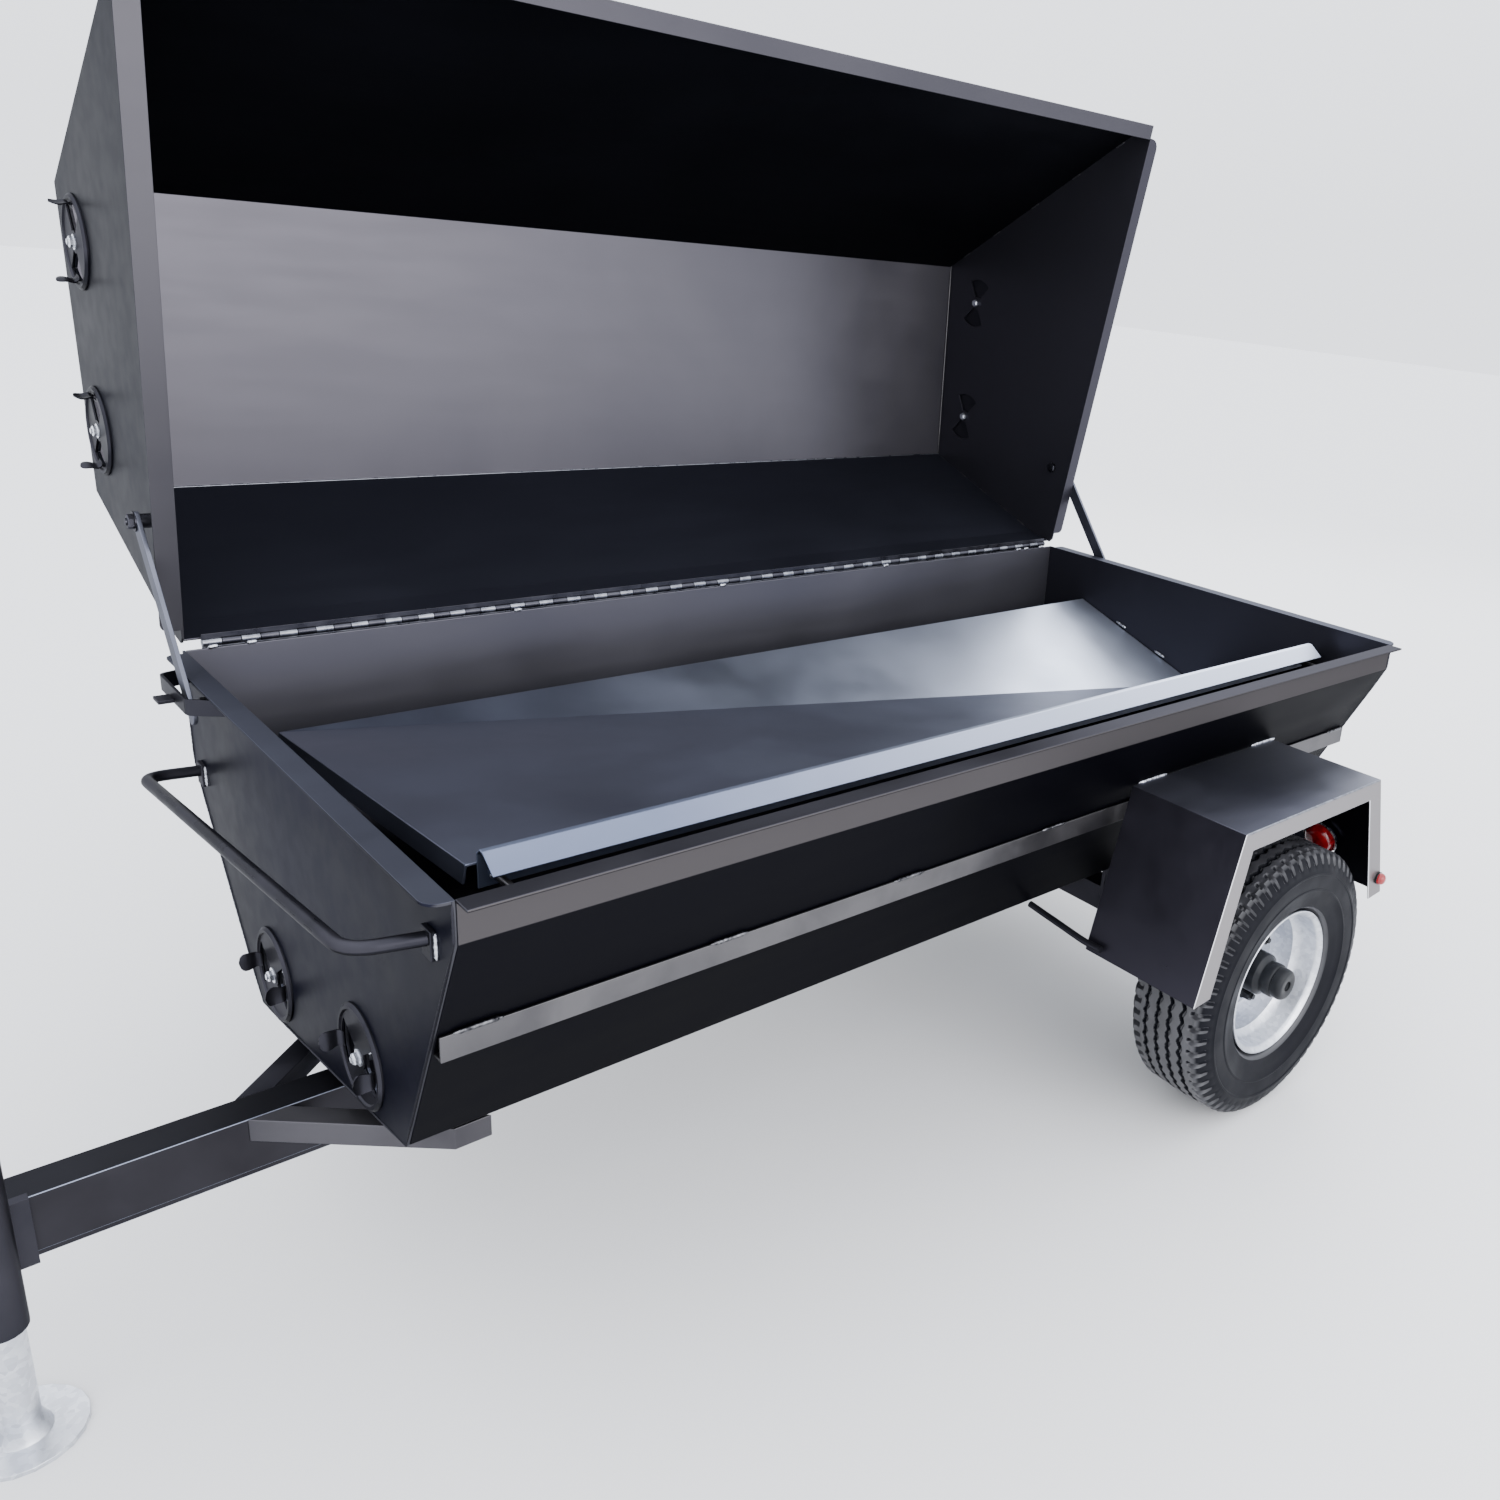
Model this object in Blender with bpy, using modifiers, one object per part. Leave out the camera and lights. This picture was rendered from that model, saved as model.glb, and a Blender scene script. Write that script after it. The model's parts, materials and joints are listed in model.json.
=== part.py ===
"""Tow-behind trough smoker: a folded-sheet tub with a hinged hood, on a two-wheel trailer frame.

Units are metres and +Z is up. The drawing frame has x = 0 at the tub's left end plate, y = 0 at its front
wall and z = 0 on the tub rim; the whole model is then moved so that its origin is on the floor, under the
middle of its bounding box. The tongue points along -X and the hood's hinge is on the +Y side.
"""

from math import atan2, cos, hypot, pi, radians, sin, tan

import bmesh
import bpy
from mathutils import Euler, Matrix, Vector

# Driving dimensions
LENGTH = 1.829  # tub, 72 in
WIDTH = 0.914  # tub, 36 in
SHEET = 0.0035  # 10 gauge sheet
FLANGE = 0.025  # width of the turned-out rims
GAP = 0.0005  # between pieces that are welded or rest on each other
RIM_HEIGHT = 0.756  # tub rim above the floor

# Outlines of the end plates as (y, z), front rim to back rim
TUB_OUTLINE = [(0, 0), (0, -0.05), (0.166, -0.388), (0.69, -0.465), (WIDTH, -0.176), (WIDTH, 0)]
HOOD_OUTLINE = [(0, 0), (0, 0.05), (0.391, 0.529), (0.847, 0.445), (WIDTH, 0.07), (WIDTH, 0)]

# Fire door in the right end plate
DOOR_OPENING = [(0.30, -0.385), (0.62, -0.43), (0.62, -0.25), (0.30, -0.25)]
DOOR_LAP = 0.014
DOOR_SHEET = 0.004

# Hinge and hood
KNUCKLE_RADIUS = 0.0062
PIN_RADIUS = 0.003
LEAF = 0.0025
LEAF_HEIGHT = 0.03
HINGE_SECTIONS = 9
HINGE_Y = WIDTH + GAP + LEAF / 2
HINGE_Z = 0.0075
HOOD_LIFT = 0.0030  # the closed hood's rim above the tub's rim
HOOD_OPEN = radians(80)

# Vents: centre (y, z) on each outline
DIAL_RADIUS = 0.0675
SLOT_INNER = 0.016
SLOT_OUTER = 0.055
SLOT_HALF_ANGLE = radians(36)
VENT_BOLT = 0.005
DIAL_SHEET = 0.003
DIAL_STANDOFF = 0.0015
TUB_VENTS = [(0.29, -0.335), (0.61, -0.38)]
HOOD_VENTS = [(WIDTH - 0.19, 0.376), (WIDTH - 0.462, 0.413)]

# Prop arms
ARM_WIDTH = 0.025
ARM_SHEET = 0.006
ARM_PIVOT = (WIDTH - 0.172, 0.05)  # on the closed hood's end plates
ARM_FOOT = (0.757, -0.0355)  # where an arm's lower end rests when the hood is open
ARM_OVERRUN = 0.02
ARM_X = FLANGE + 0.0065  # the arm's mid plane, outside the end plate
STRAP_RUN = (0.735, 0.860)  # the strap's outer run along y
STRAP_ROOTS = (0.708, 0.872)  # where its legs meet the end plate
STRAP_TOP = -0.012
STRAP_WIDTH = 0.0225
STRAP_SHEET = 0.004
STRAP_REACH = 0.0430
TAB_REACH = 0.020
TAB_WIDTH = 0.027
TAB_SHEET = 0.005

# Trailer
FRAME_TOP = -0.467
TONGUE_Y = WIDTH / 2
TONGUE_WIDTH = 0.0508
TONGUE_HEIGHT = 0.0762
TONGUE_WALL = 0.004
TONGUE_FRONT = -0.86
LOWER_BAR = (0.034, 0.012)
BRACE_SIDE = 0.032
BRACE_ROOT_X = -0.095
BRACE_TIP = (0.093, 0.263)
AXLE_X = 1.355
AXLE_Z = -0.508
AXLE_SIDE = 0.05
TYRE_RADIUS = RIM_HEIGHT + AXLE_Z
TYRE_WIDTH = 0.158
RIM_SEAT = 0.127
RIM_LIP = 0.1345
WHEEL_OUTER_Y = -0.152  # outer face of the near rim; the far side mirrors it about TONGUE_Y
DISC_INSET = 0.100
HUB_RADIUS = 0.034
HUB_END_Y = WHEEL_OUTER_Y - 0.016
SPINDLE_RADIUS = 0.016

# Fenders
FENDER_TOP = -0.156
FENDER_SHEET = 0.003
FENDER_INNER_Y = 0.0515
FENDER_OUTER_Y = -0.175
FENDER_X = [(1.057, -0.436), (1.127, FENDER_TOP), (1.535, FENDER_TOP), (1.622, -0.400)]
FENDER_LIP = 0.043

# Jack
JACK_X = -0.363
JACK_Y = TONGUE_Y - TONGUE_WIDTH / 2 - 0.034
JACK_RADIUS = 0.0254
JACK_TOP = -0.03
JACK_BOTTOM = -0.60
JACK_LEG_RADIUS = 0.0205
FOOT_RADIUS = 0.065
FOOT_PLATE = 0.006

# Deflector pan corners: (x, y, z)
PAN_LEFT = 0.08
PAN_RIGHT = LENGTH - SHEET - 0.002
PAN_BACK = (0.79, -0.10)
PAN_FRONT = (0.162, -0.050)
PAN_LOW = (0.44, -0.21)
PAN_SHEET = 0.003
LIP_OUTLINE = [(0.160, -0.082), (0.160, -0.038), (0.152, -0.031), (0.144, -0.031), (0.118, -0.051)]

FACING_X = (pi / 2, 0, pi / 2)  # local x to +Y, local y to +Z, local z to +X
FACING_Y = (pi / 2, 0, 0)  # local x to +X, local y to +Z, local z to -Y

BLACK = (0.015, 0.016, 0.021)
STEEL = (0.35, 0.35, 0.37)
ZINC = (0.62, 0.63, 0.65)
RUBBER = (0.03, 0.032, 0.036)
RED = (0.35, 0.01, 0.01)


def clear_scene():
    for obj in list(bpy.data.objects):
        bpy.data.objects.remove(obj, do_unlink=True)


def new_collection(name):
    collection = bpy.data.collections.new(name)
    bpy.context.scene.collection.children.link(collection)
    return collection


def make_material(name, colour, roughness, metallic):
    material = bpy.data.materials.new(name)
    material.use_nodes = True
    shader = material.node_tree.nodes["Principled BSDF"]
    shader.inputs["Base Color"].default_value = (*colour, 1)
    shader.inputs["Roughness"].default_value = roughness
    shader.inputs["Metallic"].default_value = metallic
    return material


clear_scene()
PARTS = new_collection("tow_behind_smoker")
CUTTERS = new_collection("cutters")
FINISHES = {
    "black_steel": (BLACK, 0.42, 0.6),
    "mill_steel": (STEEL, 0.45, 0.9),
    "zinc": (ZINC, 0.35, 0.9),
    "rubber": (RUBBER, 0.75, 0.0),
    "red_lens": (RED, 0.2, 0.0),
}


def new_empty(name, location, parent=None, rotation=(0, 0, 0)):
    empty = bpy.data.objects.new(name, None)
    PARTS.objects.link(empty)
    empty.location = location
    empty.rotation_euler = rotation
    empty.parent = parent
    return empty


BASE = new_empty("base", (0, 0, 0))
HOOD = new_empty("hood_pivot", (0, HINGE_Y, HINGE_Z), BASE, (-HOOD_OPEN, 0, 0))


def add_object(name, mesh, finish, location=(0, 0, 0), rotation=(0, 0, 0), parent=None, collection=None):
    """A mesh as a named piece with its own material; smooth where its faces meet at a low angle."""
    obj = bpy.data.objects.new(name, mesh)
    (collection or PARTS).objects.link(obj)
    obj.location = location
    obj.rotation_euler = rotation
    obj.parent = parent or BASE
    mesh.materials.clear()
    mesh.materials.append(make_material(name, *FINISHES[finish]))
    mesh.shade_smooth()
    mesh.set_sharp_from_angle(angle=radians(30))
    return obj


def mesh_from(build):
    """A mesh filled by a function that works on a bmesh."""
    shape = bmesh.new()
    build(shape)
    mesh = bpy.data.meshes.new("shape")
    shape.to_mesh(mesh)
    shape.free()
    return mesh


def box_mesh(low, high):
    middle = [(a + b) / 2 for a, b in zip(low, high)]
    size = [b - a for a, b in zip(low, high)]
    matrix = Matrix.Translation(middle) @ Matrix.Diagonal((*size, 1))
    return mesh_from(lambda shape: bmesh.ops.create_cube(shape, size=1, matrix=matrix))


def rod_mesh(start, end, radius, sides=16, end_radius=None):
    """A straight round bar or cone from start to end."""
    start, end = Vector(start), Vector(end)
    turn = (end - start).to_track_quat("Z", "Y").to_matrix().to_4x4()
    matrix = Matrix.Translation((start + end) / 2) @ turn

    def build(shape):
        bmesh.ops.create_cone(
            shape,
            cap_ends=True,
            segments=sides,
            radius1=radius,
            radius2=radius if end_radius is None else end_radius,
            depth=(end - start).length,
            matrix=matrix,
        )

    return mesh_from(build)


def evaluated_mesh(obj, merge=0.00002):
    """The object's evaluated mesh in its local frame; the object itself is removed."""
    bpy.context.view_layer.update()
    graph = bpy.context.evaluated_depsgraph_get()
    mesh = bpy.data.meshes.new_from_object(obj.evaluated_get(graph))
    shape = bmesh.new()
    shape.from_mesh(mesh)
    bmesh.ops.remove_doubles(shape, verts=shape.verts, dist=merge)
    shape.to_mesh(mesh)
    shape.free()
    bpy.data.objects.remove(obj, do_unlink=True)
    return mesh


def outline_mesh(loops, thickness):
    """A flat plate from closed outlines, the first being its edge and the others its holes."""
    curve = bpy.data.curves.new("outline", "CURVE")
    curve.dimensions = "2D"
    curve.fill_mode = "BOTH"
    curve.extrude = thickness / 2
    for loop in loops:
        spline = curve.splines.new("POLY")
        spline.points.add(len(loop) - 1)
        spline.use_cyclic_u = True
        for point, (u, v) in zip(spline.points, loop):
            point.co = (u, v, 0, 1)
    obj = bpy.data.objects.new("outline", curve)
    CUTTERS.objects.link(obj)
    return evaluated_mesh(obj)


def bar_mesh(points, radius, sides_resolution=1):
    """A bent round bar along a list of points."""
    curve = bpy.data.curves.new("bar", "CURVE")
    curve.dimensions = "3D"
    curve.bevel_depth = radius
    curve.bevel_resolution = sides_resolution
    curve.use_fill_caps = True
    spline = curve.splines.new("POLY")
    spline.points.add(len(points) - 1)
    for point, place in zip(spline.points, points):
        point.co = (*place, 1)
    obj = bpy.data.objects.new("bar", curve)
    CUTTERS.objects.link(obj)
    return evaluated_mesh(obj)


def folded_mesh(profile, x0, x1, thickness):
    """A sheet folded along a (y, z) profile, from x0 to x1; positive thickness is on the profile's left."""

    def build(shape):
        line = [shape.verts.new((x0, y, z)) for y, z in profile]
        edges = [shape.edges.new(pair) for pair in zip(line, line[1:])]
        made = bmesh.ops.extrude_edge_only(shape, edges=edges)["geom"]
        ends = [item for item in made if isinstance(item, bmesh.types.BMVert)]
        bmesh.ops.translate(shape, vec=(x1 - x0, 0, 0), verts=ends)
        bmesh.ops.recalc_face_normals(shape, faces=shape.faces)

    return thicken(mesh_from(build), thickness)


def thicken(mesh, thickness):
    """An open surface made solid with Solidify, on the side of its normals for a positive thickness."""
    obj = bpy.data.objects.new("sheet", mesh)
    CUTTERS.objects.link(obj)
    solid = obj.modifiers.new("Solidify", "SOLIDIFY")
    solid.thickness = abs(thickness)
    solid.offset = 1 if thickness > 0 else -1
    solid.use_even_offset = True
    return evaluated_mesh(obj)


def turned_mesh(profile, steps=32):
    """A profile of (radius, height) turned about local z; it runs top to bottom on its outer side."""
    mesh = bpy.data.meshes.new("profile")
    closed = profile[0][0] > 0
    count = len(profile)
    pairs = [(i, (i + 1) % count) for i in range(count if closed else count - 1)]
    mesh.from_pydata([(r, 0, z) for r, z in profile], pairs, [])
    obj = bpy.data.objects.new("turned", mesh)
    CUTTERS.objects.link(obj)
    screw = obj.modifiers.new("Screw", "SCREW")
    screw.steps = steps
    screw.render_steps = steps
    screw.use_merge_vertices = True
    screw.merge_threshold = 0.00005
    return evaluated_mesh(obj)


def joined(name, meshes, finish, parent=None, cut=(), location=(0, 0, 0), rotation=(0, 0, 0)):
    """One piece: the first mesh with the others welded on, then the cutters taken away."""
    piece = add_object(name, meshes[0], finish, location, rotation, parent)
    for operation, tools in (("UNION", meshes[1:]), ("DIFFERENCE", cut)):
        for index, mesh in enumerate(tools):
            tool = add_object(
                f"{name}_{operation.lower()}_{index}", mesh, finish, location, rotation, parent, CUTTERS
            )
            tool.hide_render = True
            tool.display_type = "WIRE"
            boolean = piece.modifiers.new(operation.title(), "BOOLEAN")
            boolean.operation = operation
            boolean.solver = "EXACT"
            boolean.object = tool
    return piece


def moved(mesh, matrix):
    mesh.transform(matrix)
    if matrix.determinant() < 0:
        mesh.flip_normals()
    return mesh


def turned_to(mesh, rotation, location=(0, 0, 0)):
    """The mesh turned by XYZ Euler angles and moved, so that it can be welded to another."""
    return moved(mesh, Matrix.LocRotScale(Vector(location), Euler(rotation), None))


def rounded(corners, steps=4):
    """An outline of (u, v, radius) corners with each corner drawn as an arc."""
    points = []
    count = len(corners)
    for i, (u, v, radius) in enumerate(corners):
        here = Vector((u, v))
        if radius == 0:
            points.append(tuple(here))
            continue
        before = (Vector(corners[i - 1][:2]) - here).normalized()
        after = (Vector(corners[(i + 1) % count][:2]) - here).normalized()
        half = before.angle(after) / 2
        reach = radius / sin(half)
        centre = here + (before + after).normalized() * reach
        start = here + before * (radius / tan(half)) - centre
        end = here + after * (radius / tan(half)) - centre
        a0 = atan2(start.y, start.x)
        turn = (atan2(end.y, end.x) - a0 + pi) % (2 * pi) - pi
        for k in range(steps + 1):
            a = a0 + turn * k / steps
            points.append((centre.x + radius * cos(a), centre.y + radius * sin(a)))
    return points


def circle(centre, radius, sides=24):
    return [
        (centre[0] + radius * cos(2 * pi * k / sides), centre[1] + radius * sin(2 * pi * k / sides))
        for k in range(sides)
    ]


def slots(centre, angle):
    """The two opposite sector openings of a butterfly vent."""
    found = []
    for side in (angle, angle + pi):
        arc = [side + SLOT_HALF_ANGLE * (k / 3 - 1) for k in range(7)]
        rays = [(a, SLOT_OUTER) for a in arc] + [(arc[-1], SLOT_INNER), (arc[0], SLOT_INNER)]
        found.append([(centre[0] + r * cos(a), centre[1] + r * sin(a)) for a, r in rays])
    return found


def end_plate(name, outline, side, vents, vent_angle, rim_z, parent, holes=()):
    """A vented end plate with its turned-out rim. side is -1 at the left end and +1 at the right."""
    x = 0 if side < 0 else LENGTH
    loops = [outline]
    for centre in vents:
        loops += slots(centre, vent_angle)
        loops.append(circle(centre, VENT_BOLT + 0.001, 8))
    loops += list(holes)
    plate = turned_to(outline_mesh(loops, SHEET), FACING_X, (x - side * SHEET / 2, 0, 0))
    reach = FLANGE if side < 0 else -FLANGE
    front, back = outline[0][0] + 0.0005, outline[-1][0] - 0.014
    corners = [
        (x - reach, front, 0.020),
        (x - side * SHEET, front, 0),
        (x - side * SHEET, back, 0),
        (x - reach, back, 0.010),
    ]
    rim = moved(outline_mesh([rounded(corners)], SHEET), Matrix.Translation((0, 0, rim_z)))
    return joined(name, [plate, rim], "black_steel", parent)


def in_hood(mesh):
    """Moves a mesh drawn on the closed hood into the frame of the hood's pivot."""
    return moved(mesh, Matrix.Translation((0, -HINGE_Y, -HINGE_Z)))


def lifted(outline):
    return [(y, z + HOOD_LIFT) for y, z in outline]


def make_tub():
    profile = [(-FLANGE, -SHEET), (0, -SHEET)] + TUB_OUTLINE[1:]
    x0, x1 = SHEET + GAP, LENGTH - SHEET - GAP
    add_object("tub_shell", folded_mesh(profile, x0, x1, -SHEET), "black_steel")
    door = rounded([(y, z, 0.01) for y, z in DOOR_OPENING], 2)
    end_plate("tub_end_left", TUB_OUTLINE, -1, TUB_VENTS, 0, -SHEET / 2, BASE)
    end_plate("tub_end_right", TUB_OUTLINE, 1, [], 0, -SHEET / 2, BASE, [door])


def make_fire_door():
    """A flat door on the right end plate, hinged at its back edge, with a lever latch."""
    x = LENGTH + GAP
    low = [
        (DOOR_OPENING[0][0] - DOOR_LAP, DOOR_OPENING[0][1] - DOOR_LAP + 0.004),
        (DOOR_OPENING[1][0] + DOOR_LAP, DOOR_OPENING[1][1] - DOOR_LAP + 0.004),
    ]
    high = [(DOOR_OPENING[2][0] + DOOR_LAP, DOOR_OPENING[2][1] + DOOR_LAP)]
    high.append((DOOR_OPENING[3][0] - DOOR_LAP, DOOR_OPENING[3][1] + DOOR_LAP))
    outline = rounded([(y, z, 0.008) for y, z in low + high], 2)
    panel = turned_to(outline_mesh([outline], DOOR_SHEET), FACING_X, (x + DOOR_SHEET / 2, 0, 0))
    y_hinge = low[1][0] + 0.004
    barrel = rod_mesh((x + 0.0065, y_hinge, -0.40), (x + 0.0065, y_hinge, -0.28), 0.006, 10)
    grip = bar_mesh(
        [
            (x + DOOR_SHEET - 0.001, 0.325, -0.28),
            (x + 0.035, 0.325, -0.285),
            (x + 0.035, 0.325, -0.365),
            (x + DOOR_SHEET - 0.001, 0.325, -0.37),
        ],
        0.005,
    )
    pivot = Vector((x + 0.0065, y_hinge, 0))
    meshes = [moved(m, Matrix.Translation(-pivot)) for m in (panel, barrel, grip)]
    joined("fire_door", meshes, "black_steel", location=pivot)


def make_rails():
    """An angle along each long wall, its toes welded to the slope."""
    (y1, z1), (y2, z2) = TUB_OUTLINE[1], TUB_OUTLINE[2]
    slope = (y2 - y1) / (z1 - z2)
    top, height = -0.192, 0.0315
    wall = y1 + (z1 - top) * slope - 0.0006
    foot = wall + height * slope
    profile = [(wall, top), (wall - 0.0035, top), (wall - 0.0035, top - height), (foot, top - height)]
    inner = [(foot - 0.002, top - height + 0.0035), (wall, top - height + 0.0035)]
    front = outline_mesh([profile + inner], LENGTH - 0.012)
    add_object("side_rail_front", turned_to(front, FACING_X, (LENGTH / 2, 0, 0)), "black_steel")
    top = -0.12
    y = WIDTH + GAP
    profile = [(y, top), (y, top - 0.004), (y + 0.03, top - 0.004), (y + 0.03, top - 0.034)]
    profile += [(y + 0.034, top - 0.034), (y + 0.034, top)]
    back = outline_mesh([profile], LENGTH - 0.012)
    add_object("side_rail_back", turned_to(back, FACING_X, (LENGTH / 2, 0, 0)), "black_steel")


def make_deflector():
    """A three-facet pan that falls to the right end, its capped front edge and two stand-off rods."""
    flange = 0.024

    def build(shape):
        left = PAN_LEFT
        back_left = shape.verts.new((left, *PAN_BACK))
        back_right = shape.verts.new((PAN_RIGHT, *PAN_BACK))
        low = shape.verts.new((PAN_RIGHT, *PAN_LOW))
        front_left = shape.verts.new((left, *PAN_FRONT))
        front_right = shape.verts.new((PAN_RIGHT, *PAN_FRONT))
        hem_back = shape.verts.new((left - 0.004, PAN_BACK[0], PAN_BACK[1] - flange))
        hem_front = shape.verts.new((left - 0.004, PAN_FRONT[0], PAN_FRONT[1] - flange))
        shape.faces.new((back_left, low, back_right))
        shape.faces.new((back_left, front_left, low))
        shape.faces.new((front_left, front_right, low))
        shape.faces.new((back_left, hem_back, hem_front, front_left))

    add_object("deflector_pan", thicken(mesh_from(build), -PAN_SHEET), "black_steel")
    lip = folded_mesh(LIP_OUTLINE, PAN_LEFT + 0.012, LENGTH - SHEET - 0.045, -0.0025)
    add_object("deflector_rail", lip, "mill_steel")
    for name, x in (("pan_standoff_left", PAN_LEFT + 0.03), ("pan_standoff_right", LENGTH - 0.075)):
        wall = SHEET * 1.3
        add_object(name, rod_mesh((x, 0.1565, -0.066), (x, wall + 0.012, -0.066), 0.005, 10), "mill_steel")


def make_charcoal_grate():
    """A welded grate of flat bars low in the tub."""
    y0, y1, z = 0.25, 0.64, -0.372
    x0, x1 = 0.10, LENGTH - 0.10
    frame = [
        box_mesh((x0, y0, z), (x1, y0 + 0.012, z + 0.012)),
        box_mesh((x0, y1 - 0.012, z), (x1, y1, z + 0.012)),
    ]
    bars = 14
    for k in range(bars):
        x = x0 + (x1 - x0 - 0.012) * k / (bars - 1)
        frame.append(box_mesh((x, y0 + 0.006, z + 0.002), (x + 0.012, y1 - 0.006, z + 0.010)))
    joined("charcoal_grate", frame, "mill_steel")


def make_hinge():
    """A continuous hinge: two leaves with alternate knuckles on one pin."""
    x0, x1 = 0.014, LENGTH - 0.014
    pin = rod_mesh((x0 - 0.004, HINGE_Y, HINGE_Z), (x1 + 0.004, HINGE_Y, HINGE_Z), PIN_RADIUS, 10)
    add_object("hinge_pin", pin, "zinc")
    pitch = (x1 - x0) / HINGE_SECTIONS
    for name, first, up in (("hinge_leaf_tub", 0, -1), ("hinge_leaf_hood", 1, 1)):
        y = -LEAF / 2
        leaf = box_mesh((x0, y, up * (KNUCKLE_RADIUS + 0.0005)), (x1, y + LEAF, up * LEAF_HEIGHT))
        meshes = [leaf]
        for k in range(first, HINGE_SECTIONS, 2):
            a, b = x0 + pitch * k + 0.0005, x0 + pitch * (k + 1) - 0.0005
            bore = PIN_RADIUS + 0.0005
            ring = turned_mesh([(KNUCKLE_RADIUS, b), (KNUCKLE_RADIUS, a), (bore, a), (bore, b)], 12)
            ring = turned_to(ring, (0, pi / 2, 0))
            low, high = up * (PIN_RADIUS + 0.0012), up * (KNUCKLE_RADIUS + 0.002)
            web = box_mesh((a, y, low), (b, y + LEAF, high))
            meshes += [ring, web]
        parent = HOOD if up > 0 else BASE
        location = (0, 0, 0) if up > 0 else (0, HINGE_Y, HINGE_Z)
        joined(name, meshes, "mill_steel", parent, location=location)


def make_hood():
    outline = lifted(HOOD_OUTLINE)
    heel = (WIDTH, HINGE_Z + KNUCKLE_RADIUS + 0.001)
    rim = HOOD_LIFT + SHEET / 2
    profile = [(-FLANGE, rim), (0, rim)] + outline[1:-1] + [heel]
    x0, x1 = SHEET + GAP, LENGTH - SHEET - GAP
    shell = in_hood(folded_mesh(profile, x0, x1, -SHEET))
    add_object("hood_shell", shell, "black_steel", parent=HOOD)
    flat = outline[:-1] + [(WIDTH, HINGE_Z + 0.003), (WIDTH - 0.010, HOOD_LIFT)]
    vents = [(y, z + HOOD_LIFT) for y, z in HOOD_VENTS]
    for name, side in (("hood_end_left", -1), ("hood_end_right", 1)):
        pivot = [circle((ARM_PIVOT[0], ARM_PIVOT[1] + HOOD_LIFT), 0.0075, 10)]
        piece = end_plate(name, flat, side, vents, 0, HOOD_LIFT + SHEET / 2, HOOD, pivot)
        in_hood(piece.data)
        for modifier in piece.modifiers:
            in_hood(modifier.object.data)
    x_mid = LENGTH / 2
    y0, z0 = 0.06, 0.05 + HOOD_LIFT + 0.06 * (0.475 / 0.394)
    out = Vector((0, -0.475, 0.394)).normalized()
    half, low, high = 0.45, 0.0012, 0.060
    grip = [
        Vector((x_mid + along, y0, z0)) + out * reach
        for along, reach in ((-half, low), (-half, high), (half, high), (half, low))
    ]
    add_object("hood_handle", in_hood(bar_mesh(grip, 0.0095, 2)), "mill_steel", parent=HOOD)


def vent_dial(name, x, side, centre, parent, shut=False):
    """A butterfly dial on its bolt: a disc with two openings, the cut-out tongues bent out as tabs.

    A shut dial stands a quarter turn on, with its openings off those of the plate behind it.
    """
    disc = outline_mesh([circle((0, 0), DIAL_RADIUS, 28)] + slots((0, 0), 0), DIAL_SHEET)
    out = DIAL_STANDOFF + DIAL_SHEET / 2
    disc = turned_to(disc, FACING_X, (side * out, 0, 0))
    bolt = rod_mesh((side * -0.012, 0, 0), (side * (out + 0.009), 0, 0), VENT_BOLT, 8)
    nut = rod_mesh((side * (-SHEET - 0.0085), 0, 0), (side * (-SHEET - 0.001), 0, 0), 0.009, 6)
    head = rod_mesh((side * out, 0, 0), (side * (out + 0.0065), 0, 0), 0.0095, 6)
    tabs = []
    for sign in (-1, 1):
        y = sign * (SLOT_OUTER + 0.001)
        low = (min(side * out, side * (out + 0.026)), min(y, y + sign * 0.003), -0.012)
        high = (max(side * out, side * (out + 0.026)), max(y, y + sign * 0.003), 0.012)
        tabs.append(box_mesh(low, high))
    turn = Matrix.Rotation(pi / 2 if shut else 0, 4, "X")
    meshes = [moved(mesh, turn) for mesh in [disc, bolt, nut, head] + tabs]
    return joined(name, meshes, "black_steel", parent, location=(x, *centre))


def make_dials():
    for k, centre in enumerate(TUB_VENTS):
        vent_dial(f"tub_vent_dial_left_{k + 1}", 0, -1, centre, BASE)
    for end, x, side in (("left", 0, -1), ("right", LENGTH, 1)):
        for k, (y, z) in enumerate(HOOD_VENTS):
            centre = (y - HINGE_Y, z + HOOD_LIFT - HINGE_Z)
            vent_dial(f"hood_vent_dial_{end}_{k + 1}", x, side, centre, HOOD, shut=end == "right")


def hood_point(y, z):
    """Where a point of the closed hood is with the hood open."""
    dy, dz = y - HINGE_Y, z - HINGE_Z
    c, s = cos(HOOD_OPEN), sin(HOOD_OPEN)
    return HINGE_Y + dy * c + dz * s, HINGE_Z - dy * s + dz * c


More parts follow.
